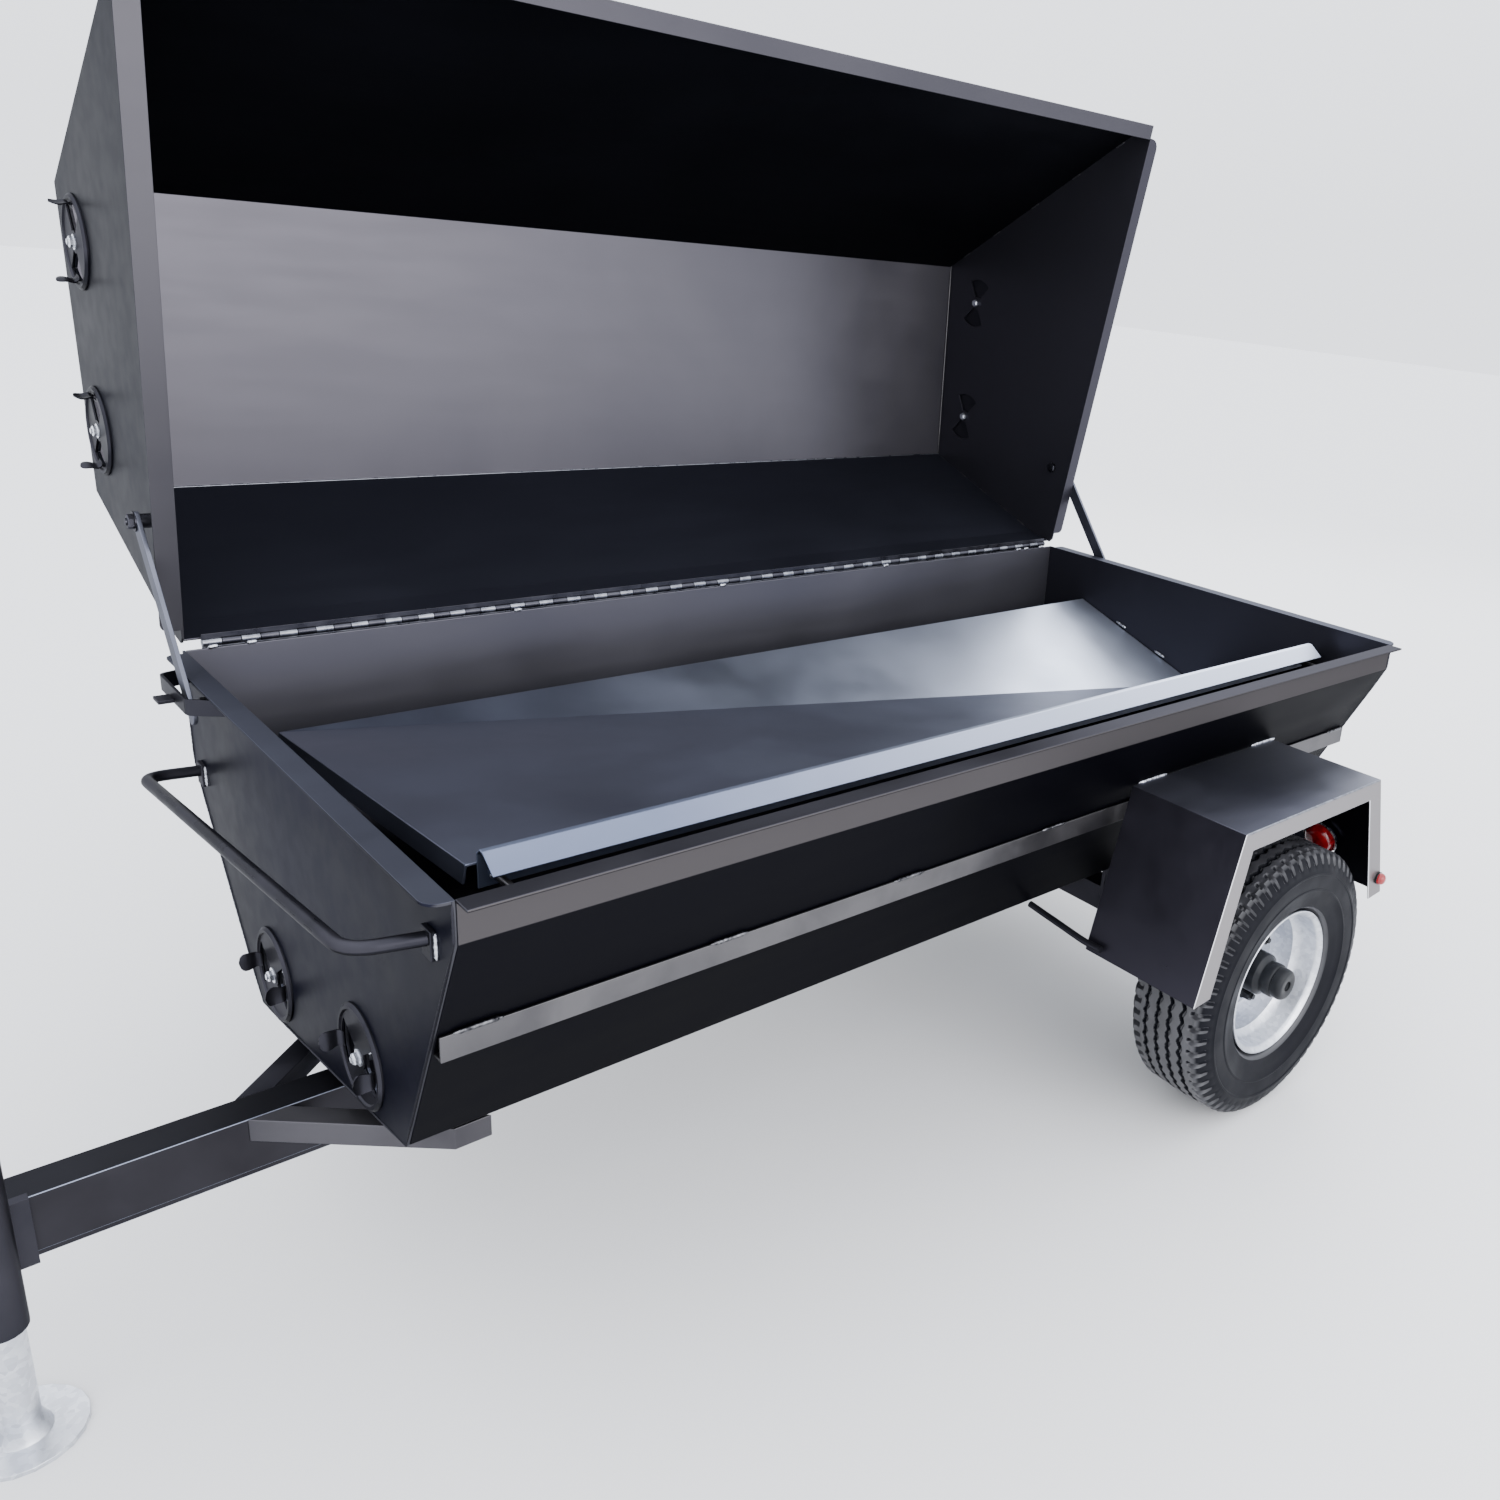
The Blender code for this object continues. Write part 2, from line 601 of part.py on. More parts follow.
def make_prop_arms():
    """At each end a bar bolted to the hood, its foot in a strap bracket with a release tab."""
    py, pz = hood_point(ARM_PIVOT[0], ARM_PIVOT[1] + HOOD_LIFT)
    fy, fz = ARM_FOOT
    length = hypot(py - fy, pz - fz) + ARM_OVERRUN
    lean = atan2(fy - py, pz - fz)
    for end, x, side in (("left", 0, -1), ("right", LENGTH, 1)):
        half = ARM_WIDTH / 2
        corners = [(-half, half), (half, half), (half, -length), (-half, -length)]
        edge = rounded([(y, z, 0.010) for y, z in corners], 3)
        arm = turned_to(outline_mesh([edge, circle((0, 0), 0.0068, 10)], ARM_SHEET), FACING_X)
        add_object(f"prop_arm_{end}", arm, "black_steel", (x + side * ARM_X, py, pz), (lean, 0, 0))
        place = (x, ARM_PIVOT[0] - HINGE_Y, ARM_PIVOT[1] + HOOD_LIFT - HINGE_Z)
        arm_out, arm_in = ARM_X + ARM_SHEET / 2, ARM_X - ARM_SHEET / 2
        shank = rod_mesh((side * -0.014, 0, 0), (side * (arm_out + 0.004), 0, 0), 0.006, 10)
        head = rod_mesh((side * (arm_out + 0.001), 0, 0), (side * (arm_out + 0.009), 0, 0), 0.0115, 6)
        nut = rod_mesh((side * (-SHEET - 0.0095), 0, 0), (side * (-SHEET - 0.001), 0, 0), 0.0115, 6)
        sleeve = rod_mesh((side * 0.001, 0, 0), (side * (arm_in - 0.001), 0, 0), 0.010, 10)
        joined(f"prop_bolt_{end}", [shank, head, nut, sleeve], "zinc", HOOD, location=place)
        make_strap(end, x, side)


def make_strap(end, x, side):
    """A flat bar bent to a splayed U under the rim flange, and the release tab on its outer run."""
    y0, y1 = STRAP_RUN
    root0, root1 = STRAP_ROOTS
    t = STRAP_SHEET
    reach, root, inside = side * STRAP_REACH, side * GAP, side * (STRAP_REACH - t)
    outer = [(root, root0), (reach, y0), (reach, y1), (root, root1)]
    inner = [
        (root, root1 - t * 1.1),
        (inside, y1 - t * 0.8),
        (inside, y0 + t * 0.8),
        (root, root0 + t * 1.3),
    ]
    flat = outline_mesh([outer + inner], STRAP_WIDTH)
    middle = STRAP_TOP - STRAP_WIDTH / 2
    add_object(f"strap_bracket_{end}", moved(flat, Matrix.Translation((x, 0, middle))), "black_steel")
    start, stop = sorted((x + reach + side * GAP, x + reach + side * TAB_REACH))
    y, z = (y0 + y1) / 2, middle - 0.008
    tab = box_mesh((start, y - TAB_WIDTH / 2, z), (stop, y + TAB_WIDTH / 2, z + TAB_SHEET))
    add_object(f"release_tab_{end}", tab, "black_steel")


def make_end_handles():
    """A round bar on two stand-off plates across each end of the tub."""
    half_wide, half_tall = 0.013, 0.018
    near, far = (0.055, -0.064), (0.868, -0.168)
    near_elbow, far_elbow = (0.086, -0.064), (0.866, -0.163)
    for end, x, side in (("left", 0, -1), ("right", LENGTH, 1)):
        reach = side * 0.076
        path = [
            (side * 0.004, *near),
            (reach * 0.72, near[0] + 0.003, near[1]),
            (reach, *near_elbow),
            (reach, far_elbow[0] - 0.012, far_elbow[1]),
            (reach * 0.86, *far_elbow),
            (side * 0.004, *far),
        ]
        meshes = [bar_mesh(path, 0.0080, 2)]
        x0, x1 = sorted((side * GAP, side * 0.006))
        for y, z in (near, far):
            low, high = (x0, y - half_wide, z - half_tall), (x1, y + half_wide, z + half_tall)
            meshes.append(box_mesh(low, high))
        joined(f"end_handle_{end}", meshes, "black_steel", location=(x, 0, 0))


def square_tube(side_a, side_b, wall, length):
    """An open-ended tube along local z."""
    a, b = side_a / 2, side_b / 2
    outer = [(-a, -b), (a, -b), (a, b), (-a, b)]
    inner = [(-a + wall, -b + wall), (a - wall, -b + wall), (a - wall, b - wall), (-a + wall, b - wall)]
    return outline_mesh([outer, inner], length)


def make_frame():
    x1 = AXLE_X - AXLE_SIDE / 2 - 0.001
    length = x1 - TONGUE_FRONT
    mid = (x1 + TONGUE_FRONT) / 2
    z = FRAME_TOP - TONGUE_HEIGHT / 2
    tube = square_tube(TONGUE_WIDTH, TONGUE_HEIGHT, TONGUE_WALL, length)
    add_object("tongue_tube", turned_to(tube, FACING_X, (mid, TONGUE_Y, z)), "black_steel")
    wide, tall = LOWER_BAR
    top = FRAME_TOP - TONGUE_HEIGHT - GAP
    bar = box_mesh((TONGUE_FRONT + 0.12, TONGUE_Y - wide / 2, top - tall), (x1, TONGUE_Y + wide / 2, top))
    add_object("tongue_lower_bar", bar, "black_steel")
    half = BRACE_SIDE / 2
    for end, sign in (("front", -1), ("back", 1)):
        tip_x, tip_y = BRACE_TIP
        y0 = TONGUE_Y + sign * (TONGUE_WIDTH / 2 + GAP)
        y1 = TONGUE_Y + sign * (TONGUE_Y - tip_y)
        along, across = tip_x - BRACE_ROOT_X, abs(y1 - y0)
        wide = BRACE_SIDE * hypot(along, across) / across
        corners = [(BRACE_ROOT_X, y0), (tip_x, y1), (tip_x + wide, y1), (BRACE_ROOT_X + wide, y0)]
        piece = moved(outline_mesh([corners], BRACE_SIDE), Matrix.Translation((0, 0, FRAME_TOP - half)))
        add_object(f"frame_brace_{end}", piece, "black_steel")


def make_axle():
    """The axle beam with its spindles, and two plates that carry the tub on it."""
    near = WHEEL_OUTER_Y + DISC_INSET + 0.045
    far = 2 * TONGUE_Y - near
    h = AXLE_SIDE / 2
    beam = box_mesh((AXLE_X - h, near, AXLE_Z - h), (AXLE_X + h, far, AXLE_Z + h))
    meshes = [beam]
    for y0, y1 in ((near + 0.002, HUB_END_Y + 0.03), (far - 0.002, 2 * TONGUE_Y - HUB_END_Y - 0.03)):
        meshes.append(rod_mesh((AXLE_X, y0, AXLE_Z), (AXLE_X, y1, AXLE_Z), SPINDLE_RADIUS, 12))
    (y_front, z_front), (y_back, z_back) = TUB_OUTLINE[2:4]
    plate = 0.008
    for y in (0.22, 0.66):
        top = z_front + (y + plate - y_front) * (z_back - z_front) / (y_back - y_front) - GAP
        meshes.append(box_mesh((AXLE_X - 0.05, y, AXLE_Z + h - 0.004), (AXLE_X + 0.05, y + plate, top)))
    joined("axle_beam", meshes, "black_steel")


def wheel_profile():
    """Deep-dished rim as (radius, distance inboard of the outer face)."""
    w = TYRE_WIDTH - 0.03
    t = 0.003
    d = DISC_INSET
    well = RIM_SEAT - 0.012
    bore = HUB_RADIUS + 0.001
    return [
        (RIM_LIP, 0),
        (RIM_SEAT, 0.008),
        (well, 0.045),
        (well, w - 0.022),
        (RIM_SEAT, w - 0.008),
        (RIM_LIP, w),
        (RIM_LIP - t, w),
        (RIM_SEAT - t, w - 0.008),
        (well - t, w - 0.022),
        (well - t, d + t),
        (bore, d + t),
        (bore, d),
        (well - t, d),
        (well - t, 0.045),
        (RIM_SEAT - t, 0.008),
        (RIM_LIP - t, 0),
    ]


def tyre_profile():
    """Half of the tyre's section as (radius, distance from its middle plane), bead to tread."""
    half = TYRE_WIDTH / 2
    r = TYRE_RADIUS
    bead = half - 0.0155
    return [
        (RIM_SEAT + 0.0006, bead - 0.011),
        (RIM_LIP + 0.004, bead - 0.0105),
        (RIM_LIP + 0.010, bead + 0.002),
        (r * 0.70, half - 0.002),
        (r * 0.80, half),
        (r * 0.90, half - 0.004),
        (r * 0.965, half - 0.010),
        (r, half - 0.024),
    ]


def hub_profile():
    """The hub's cap, barrel and flange as (radius, distance inboard of the rim's outer face)."""
    nose = HUB_END_Y - WHEEL_OUTER_Y
    bore = SPINDLE_RADIUS + 0.001
    back = DISC_INSET + 0.040
    return [
        (0.0, nose),
        (0.016, nose),
        (0.026, nose + 0.005),
        (0.026, nose + 0.045),
        (HUB_RADIUS, nose + 0.055),
        (HUB_RADIUS, back),
        (bore, back),
        (bore, nose + 0.029),
        (0.0, nose + 0.029),
    ]


def make_wheel(end, sign):
    """sign is -1 for the near wheel and +1 for the far one."""
    inboard = Matrix.Rotation(sign * pi / 2, 4, "X")
    place = (AXLE_X, TONGUE_Y + sign * (TONGUE_Y - WHEEL_OUTER_Y), AXLE_Z)
    middle = (TYRE_WIDTH - 0.03) / 2
    half = tyre_profile()
    section = [(r, middle + h) for r, h in half] + [(r, middle - h) for r, h in reversed(half)]
    rim = turned_mesh(wheel_profile()[::-1], 32)
    tyre = turned_mesh(section, 36)
    hub = turned_mesh(hub_profile()[::-1], 20)
    add_object(f"wheel_rim_{end}", moved(rim, inboard), "zinc", place)
    add_object(f"tyre_{end}", moved(tyre, inboard), "rubber", place)
    add_object(f"wheel_hub_{end}", moved(hub, inboard), "black_steel", place)


def make_fenders():
    """A sheet bent over each wheel, with a turned-down lip along its outer edge."""
    for end, sign in (("front", -1), ("back", 1)):
        wall = FENDER_INNER_Y if sign < 0 else 2 * TONGUE_Y - (WIDTH + GAP + 0.0345)
        y_in = TONGUE_Y + sign * (TONGUE_Y - wall)
        y_out = TONGUE_Y + sign * (TONGUE_Y - FENDER_OUTER_Y)

        def build(shape):
            inner = [shape.verts.new((x, y_in, z)) for x, z in FENDER_X]
            outer = [shape.verts.new((x, y_out, z)) for x, z in FENDER_X]
            hem = []
            middle = sum(x for x, z in FENDER_X) / 4
            for x, z in FENDER_X:
                toward = Vector((middle - x, 0, -0.42 - z))
                toward = toward.normalized() * FENDER_LIP
                hem.append(shape.verts.new((x + toward.x, y_out, z + toward.z)))
            for a in range(3):
                shape.faces.new((inner[a], inner[a + 1], outer[a + 1], outer[a]))
                shape.faces.new((outer[a], outer[a + 1], hem[a + 1], hem[a]))
            bmesh.ops.recalc_face_normals(shape, faces=shape.faces)

        add_object(f"fender_{end}", thicken(mesh_from(build), -FENDER_SHEET), "black_steel")
        make_stay(end, sign)


def make_stay(end, sign):
    """A round bar from the tub's lower bend to the front panel of the fender."""
    (x0, z0), (x1, z1) = FENDER_X[:2]
    z = z0 + 0.016
    panel = x0 + (x1 - x0) * (z - z0) / (z1 - z0) - 0.0078
    weld_z = -0.399 if sign < 0 else -0.4100
    path = [
        (x, TONGUE_Y + sign * (TONGUE_Y - y), height)
        for x, y, height in ((panel, 0.015, z), (panel - 0.002, 0.050, z), (1.042, 0.172, weld_z))
    ]
    add_object(f"fender_stay_{end}", bar_mesh(path, 0.006), "black_steel")


def make_lamps():
    """A round tail lamp on each fender's rear panel and a small marker on its outer lip."""
    (xa, za), (xb, zb) = FENDER_X[2], FENDER_X[3]
    along = Vector((xb - xa, 0, zb - za)).normalized()
    normal = Vector((-along.z, 0, along.x))
    for end, sign in (("front", -1), ("back", 1)):
        y = TONGUE_Y + sign * (TONGUE_Y + 0.055)
        middle = Vector((xa, y, za)) + along * 0.175 + normal * 0.0012
        lens = turned_mesh([(0, 0.020), (0.022, 0.018), (0.034, 0.010), (0.038, 0.0), (0, 0.0)], 20)
        turn = normal.to_track_quat("Z", "Y").to_matrix().to_4x4()
        add_object(f"tail_lamp_{end}", moved(lens, Matrix.Translation(middle) @ turn), "red_lens")
        out = TONGUE_Y + sign * (TONGUE_Y - FENDER_OUTER_Y + 0.0012)
        spot = Vector((xa, 0, za)) + along * 0.218 + Vector((-0.0, out, 0)) - normal * 0.010
        marker = rod_mesh(spot, spot + Vector((0, sign * 0.014, 0)), 0.012, 14, 0.009)
        add_object(f"marker_lamp_{end}", marker, "red_lens")


def make_jack():
    top, bottom = JACK_TOP, JACK_BOTTOM
    r, wall = JACK_RADIUS, 0.003
    bore = 0.008
    ceiling = top - 0.004
    line = [(r, top), (r, bottom), (r - wall, bottom), (r - wall, ceiling), (bore, ceiling), (bore, top)]
    tube = turned_mesh(line, 20)
    z = FRAME_TOP - TONGUE_HEIGHT / 2
    y_face = TONGUE_Y - TONGUE_WIDTH / 2 - GAP - JACK_Y
    plate = box_mesh((-0.045, r - 0.004, z - 0.045), (0.045, y_face, z + 0.045))
    joined("jack_tube", [tube, plate], "black_steel", location=(JACK_X, JACK_Y, 0),
           cut=[rod_mesh((0, 0, bottom - 0.01), (0, 0, top - 0.01), r - wall, 20)])
    foot = -RIM_HEIGHT
    leg_top = -0.33
    plate_top = foot + FOOT_PLATE
    leg_line = [
        (0, leg_top),
        (JACK_LEG_RADIUS, leg_top),
        (JACK_LEG_RADIUS, plate_top + 0.02),
        (0.03, plate_top),
        (FOOT_RADIUS, plate_top),
        (FOOT_RADIUS, foot),
        (0, foot),
    ]
    leg = turned_mesh(leg_line, 20)
    add_object("jack_leg", leg, "zinc", (JACK_X, JACK_Y, 0))
    throw, arm_z = -0.09, top + 0.035
    path = [(0, 0, top - 0.03), (0, 0, arm_z), (throw, 0, arm_z), (throw, 0, arm_z + 0.02)]
    crank = bar_mesh(path, 0.006, 1)
    knob = rod_mesh((throw, 0, arm_z + 0.017), (throw, 0, arm_z + 0.09), 0.013, 12)
    joined("jack_crank", [crank, knob], "zinc", location=(JACK_X, JACK_Y, 0))


def make_coupler():
    """A pressed ball coupler on the tongue's nose, with its latch lever."""
    z_top = FRAME_TOP + GAP
    x0 = TONGUE_FRONT + 0.10
    w = TONGUE_WIDTH / 2 + 0.0008
    t = 0.004
    skirt = -0.06
    outside = [(-w - t, skirt), (-w - t, t), (w + t, t), (w + t, skirt)]
    sleeve = outline_mesh([outside + [(w, skirt), (w, 0), (-w, 0), (-w, skirt)]], 0.13)
    sleeve = turned_to(sleeve, FACING_X, (x0 - 0.065, TONGUE_Y, z_top))
    nose_x = TONGUE_FRONT - 0.065
    dome = [(0, 0.012), (0.022, 0.009), (0.036, -0.008), (0.040, -0.030), (0.040, -0.055)]
    dome += [(0.034, -0.055), (0.030, -0.030), (0.020, -0.012), (0, -0.006)]
    socket = turned_mesh(dome, 20)
    socket = moved(socket, Matrix.Translation((nose_x, TONGUE_Y, z_top - 0.004)))
    low = (nose_x + 0.030, TONGUE_Y - 0.020, z_top - 0.045)
    high = (x0 - 0.125, TONGUE_Y + 0.020, z_top + t - 0.001)
    neck = box_mesh(low, high)
    pivot = (nose_x + 0.052, TONGUE_Y, z_top + t + 0.010)
    ears = [
        box_mesh(
            (pivot[0] - 0.008, TONGUE_Y + near, z_top + t - 0.001),
            (pivot[0] + 0.008, TONGUE_Y + near + 0.003, pivot[2] + 0.007),
        )
        for near in (-0.0148, 0.0118)
    ]
    joined("coupler", [sleeve, neck, socket] + ears, "black_steel")
    lever = [(-0.007, -0.004, 0.002), (0.0, -0.005, 0.004), (0.085, 0.004, 0.004)]
    lever += [(0.085, 0.010, 0.002), (0.0, 0.007, 0.004), (-0.007, 0.005, 0.002)]
    plate = outline_mesh([rounded(lever, 2)], 0.022)
    add_object("coupler_latch", turned_to(plate, FACING_Y), "zinc", pivot)


def make_drain():
    """A grease drain under the tub, with a ball valve and its lever."""
    x, y, top = 0.052, 0.545, -0.4465
    pipe = rod_mesh((x, y, top - 0.105), (x, y, top), 0.011, 12)
    valve = rod_mesh((x, y, top - 0.090), (x, y, top - 0.050), 0.0165, 8)
    stem = rod_mesh((x, y, top - 0.073), (x, y - 0.026, top - 0.073), 0.005, 8)
    joined("drain_pipe", [pipe, valve, stem], "zinc")
    lever = rod_mesh((0, 0, 0), (-0.105, 0, 0), 0.005, 8)
    boss = rod_mesh((0, 0.006, 0), (0, -0.006, 0), 0.010, 8)
    joined("drain_lever", [boss, lever], "black_steel", location=(x, y - 0.033, top - 0.073))


def settle_on_floor():
    """Moves everything so that the origin is on the floor under the middle of the bounding box."""
    bpy.context.view_layer.update()
    graph = bpy.context.evaluated_depsgraph_get()
    points = []
    for obj in PARTS.objects:
        if obj.type == "MESH":
            placed = obj.evaluated_get(graph)
            points += [placed.matrix_world @ vertex.co for vertex in placed.data.vertices]
    low = [min(p[i] for p in points) for i in range(3)]
    high = [max(p[i] for p in points) for i in range(3)]
    BASE.location = (-(low[0] + high[0]) / 2, -(low[1] + high[1]) / 2, -low[2])


make_tub()
make_fire_door()
make_rails()
make_deflector()
make_charcoal_grate()
make_hinge()
make_hood()
make_dials()
make_prop_arms()
make_end_handles()
make_frame()
make_axle()
make_wheel("front", -1)
make_wheel("back", 1)
make_fenders()
make_lamps()
make_jack()
make_coupler()
make_drain()
settle_on_floor()
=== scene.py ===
"""Looks of the tow-behind trough smoker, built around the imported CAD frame.

Places are given in the tub's own coordinates: x = 0 at the outer face of the left end plate, y = 0 at the
front wall, z = 0 on the rim. at(x, y, z) turns them into the row frame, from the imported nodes' boxes.
"""

import json
import random
from math import cos, pi, radians, sin, tau

import bmesh
import bpy
from mathutils import Matrix, Vector


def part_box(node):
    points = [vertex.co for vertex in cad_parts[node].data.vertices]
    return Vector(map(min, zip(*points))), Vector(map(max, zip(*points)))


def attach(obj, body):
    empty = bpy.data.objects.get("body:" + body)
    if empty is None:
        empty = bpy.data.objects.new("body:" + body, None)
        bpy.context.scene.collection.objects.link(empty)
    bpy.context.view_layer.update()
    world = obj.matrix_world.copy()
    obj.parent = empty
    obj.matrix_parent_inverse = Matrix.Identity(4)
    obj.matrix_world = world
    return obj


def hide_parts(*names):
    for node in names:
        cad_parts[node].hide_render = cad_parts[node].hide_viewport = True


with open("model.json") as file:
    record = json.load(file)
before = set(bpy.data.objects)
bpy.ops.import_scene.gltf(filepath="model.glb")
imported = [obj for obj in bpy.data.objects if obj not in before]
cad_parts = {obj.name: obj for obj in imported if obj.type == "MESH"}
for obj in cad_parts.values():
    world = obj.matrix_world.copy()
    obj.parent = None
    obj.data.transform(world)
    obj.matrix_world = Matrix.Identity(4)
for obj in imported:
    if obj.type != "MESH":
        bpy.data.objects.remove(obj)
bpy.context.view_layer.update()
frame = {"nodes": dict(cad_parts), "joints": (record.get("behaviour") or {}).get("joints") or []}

JOINTS = {joint["name"]: Vector(joint.get("pos_m", (0, 0, 0))) for joint in frame["joints"]}

# Sizes shared with the CAD, in metres
LENGTH = 1.829
WIDTH = 0.914
SHEET = 0.0035
FLANGE = 0.025
TUB_OUTLINE = [(0, 0), (0, -0.05), (0.166, -0.388), (0.69, -0.465), (WIDTH, -0.176), (WIDTH, 0)]
HOOD_OPEN = radians(80)
DIAL_RADIUS = 0.0675
HINGE_RADIUS = 0.0062
KNUCKLE = 0.0254
LEAF = 0.0025

# The wheel, with depths measured inwards from the rim's outer edge
RIM_LIP = 0.1345
RIM_WIDTH = 0.128
DISC_INSET = 0.100
BOSS_INSET = 0.072
LUG_CIRCLE = 0.0572
LUG_NUTS = 5

# The tyre. The shoulders' lugs start LUG_START from its middle and end SHOULDER_DROP below its crown.
TYRE_WIDTH = 0.158
TYRE_STEPS = 504
GROOVES = (-0.036, -0.012, 0.012, 0.036)
GROOVE_DEPTH = 0.0065
LUGS = 63
LUG_START = 0.048
LUG_DEPTH = 0.0075
SHOULDER_DROP = 0.026
CROWN_CURVE = 0.77

# The part along y of the normals of the pan's front and back facets
PAN_FRONT_TILT = 0.05
PAN_BACK_TILT = -0.20

# Both ends of the tub, as (name, x, which way is outwards), and both sides of the trailer
ENDS = (("left", 0, -1), ("right", LENGTH, 1))
SIDES = (("front", -1), ("back", 1))

END_LOW, END_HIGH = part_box("tub_end_left")
ORIGIN = Vector((END_LOW.x + FLANGE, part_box("tub_shell")[0].y + FLANGE, END_HIGH.z))
HINGE = JOINTS["hood_hinge"]


def at(x, y, z):
    return ORIGIN + Vector((x, y, z))


def hood_at(x, y, z):
    """A point given on the closed hood, where the open hood has it."""
    offset = at(x, y, z) - Vector((0, HINGE.y, HINGE.z))
    turn = Matrix.Rotation(-HOOD_OPEN, 3, "X")
    return turn @ Vector((0, offset.y, offset.z)) + Vector((offset.x, HINGE.y, HINGE.z))


# ---------------------------------------------------------------- materials


def map_range(tree, value, low, high, start, end):
    """Maps a socket's start to end onto low to high."""
    node = tree.nodes.new("ShaderNodeMapRange")
    limits = {"From Min": start, "From Max": end, "To Min": low, "To Max": high}
    for name, limit in limits.items():
        node.inputs[name].default_value = limit
    tree.links.new(value, node.inputs["Value"])
    return node.outputs["Result"]


class Shader:
    """A Principled material with short helpers for its nodes."""

    def __init__(self, name, colour, roughness, metallic=0.0):
        self.material = bpy.data.materials.new(name)
        self.material.use_nodes = True
        self.nodes = self.material.node_tree.nodes
        self.links = self.material.node_tree.links
        self.surface = self.nodes["Principled BSDF"]
        self.surface.inputs["Base Color"].default_value = (*colour, 1)
        self.surface.inputs["Roughness"].default_value = roughness
        self.surface.inputs["Metallic"].default_value = metallic
        coordinates = self.nodes.new("ShaderNodeTexCoord")
        self.place = coordinates.outputs["Object"]
        self.normal = coordinates.outputs["Normal"]

    def noise(self, scale, detail=3.0, stretch=(1, 1, 1), distortion=0.0):
        mapping = self.nodes.new("ShaderNodeMapping")
        mapping.inputs["Scale"].default_value = stretch
        self.links.new(self.place, mapping.inputs["Vector"])
        texture = self.nodes.new("ShaderNodeTexNoise")
        texture.inputs["Scale"].default_value = scale
        texture.inputs["Detail"].default_value = detail
        texture.inputs["Distortion"].default_value = distortion
        self.links.new(mapping.outputs["Vector"], texture.inputs["Vector"])
        return texture.outputs["Fac"]

    def share(self, vector, axis, start, end):
        """0 to 1 as one coordinate of a vector goes from start to end."""
        split = self.nodes.new("ShaderNodeSeparateXYZ")
        self.links.new(vector, split.inputs[0])
        return self.spread(split.outputs[axis], 0.0, 1.0, start, end)

    def facing(self, axis, start, end):
        """0 to 1 as the normal's part along an axis goes from start to end."""
        return self.share(self.normal, axis, start, end)

    def along(self, axis, start, end):
        """0 to 1 from start to end along an axis of the row frame."""
        return self.share(self.place, axis, start, end)

    def spread(self, value, low, high, start=0.35, end=0.65):
        """Maps start to end, by default a texture's middle range, onto low to high."""
        return map_range(self.material.node_tree, value, low, high, start, end)

    def mix(self, share, first, second):
        """A colour between two colours or sockets, by share."""
        node = self.nodes.new("ShaderNodeMix")
        node.data_type = "RGBA"
        for socket, value in ((node.inputs[6], first), (node.inputs[7], second)):
            if isinstance(value, tuple):
                socket.default_value = (*value, 1)
            else:
                self.links.new(value, socket)
        self.links.new(share, node.inputs["Factor"])
        return node.outputs[2]

    def math(self, operation, first, second):
        node = self.nodes.new("ShaderNodeMath")
        node.operation = operation
        for socket, value in zip(node.inputs, (first, second)):
            self.links.new(value, socket)
        return node.outputs[0]

    def bump(self, height, strength, distance=0.001):
        node = self.nodes.new("ShaderNodeBump")
        node.inputs["Strength"].default_value = strength
        node.inputs["Distance"].default_value = distance
        self.links.new(height, node.inputs["Height"])
        self.links.new(node.outputs["Normal"], self.surface.inputs["Normal"])

    def set(self, socket, value):
        self.links.new(value, self.surface.inputs[socket])


def sheet_metal(name, dark, light, roughness, metallic, cloud=4.0, grain=0.05, edge_tint=0.35, layers=(),
                bend=None):
    """Painted or mill-scale sheet: soft clouds in colour and gloss, a fine grain and faint streaks.

    Each layer (source, axis, start, end, colour) lays its colour where the face's normal or its place
    along an axis of the row frame goes from start to end; the layers paint light and shade by facing and
    place. bend is the colour of a painted highlight on the folds round faces that look straight to the front.
    """
    shader = Shader(name, dark, roughness, metallic)
    clouds = shader.noise(cloud, 5.0, distortion=0.4)
    colour = shader.mix(shader.spread(clouds, 0.0, 1.0), dark, light)
    for source, axis, start, end, tone in layers:
        share = shader.facing(axis, start, end) if source == "facing" else shader.along(axis, start, end)
        colour = shader.mix(share, colour, tone)
    # The bend colour is a painted highlight along the folds.
    if bend:
        fold_highlight = shader.math("MULTIPLY", shader.facing("Y", -0.15, -0.40), shader.facing("Y", -0.985, -0.92))
        colour = shader.mix(fold_highlight, colour, bend)
    shader.set("Base Color", colour)
    shader.surface.inputs["Specular Tint"].default_value = (edge_tint, edge_tint, edge_tint, 1)
    streaks = shader.noise(30.0, 2.0, stretch=(0.15, 1.0, 1.0))
    gloss = shader.spread(clouds, roughness - 0.05, roughness + 0.06)
    shader.set("Roughness", shader.math("ADD", gloss, shader.spread(streaks, -0.02, 0.02)))
    shader.bump(shader.noise(900.0, 2.0), grain, 0.0004)
    return shader.material


def weld_metal(name, dark, light):
    """Bare weld, darker where it was hottest."""
    shader = Shader(name, light, 0.32, 1.0)
    heat = shader.noise(160.0, 3.0)
    shader.set("Base Color", shader.mix(shader.spread(heat, 0.0, 1.0), dark, light))
    shader.bump(shader.noise(600.0, 2.0), 0.3, 0.0008)
    return shader.material


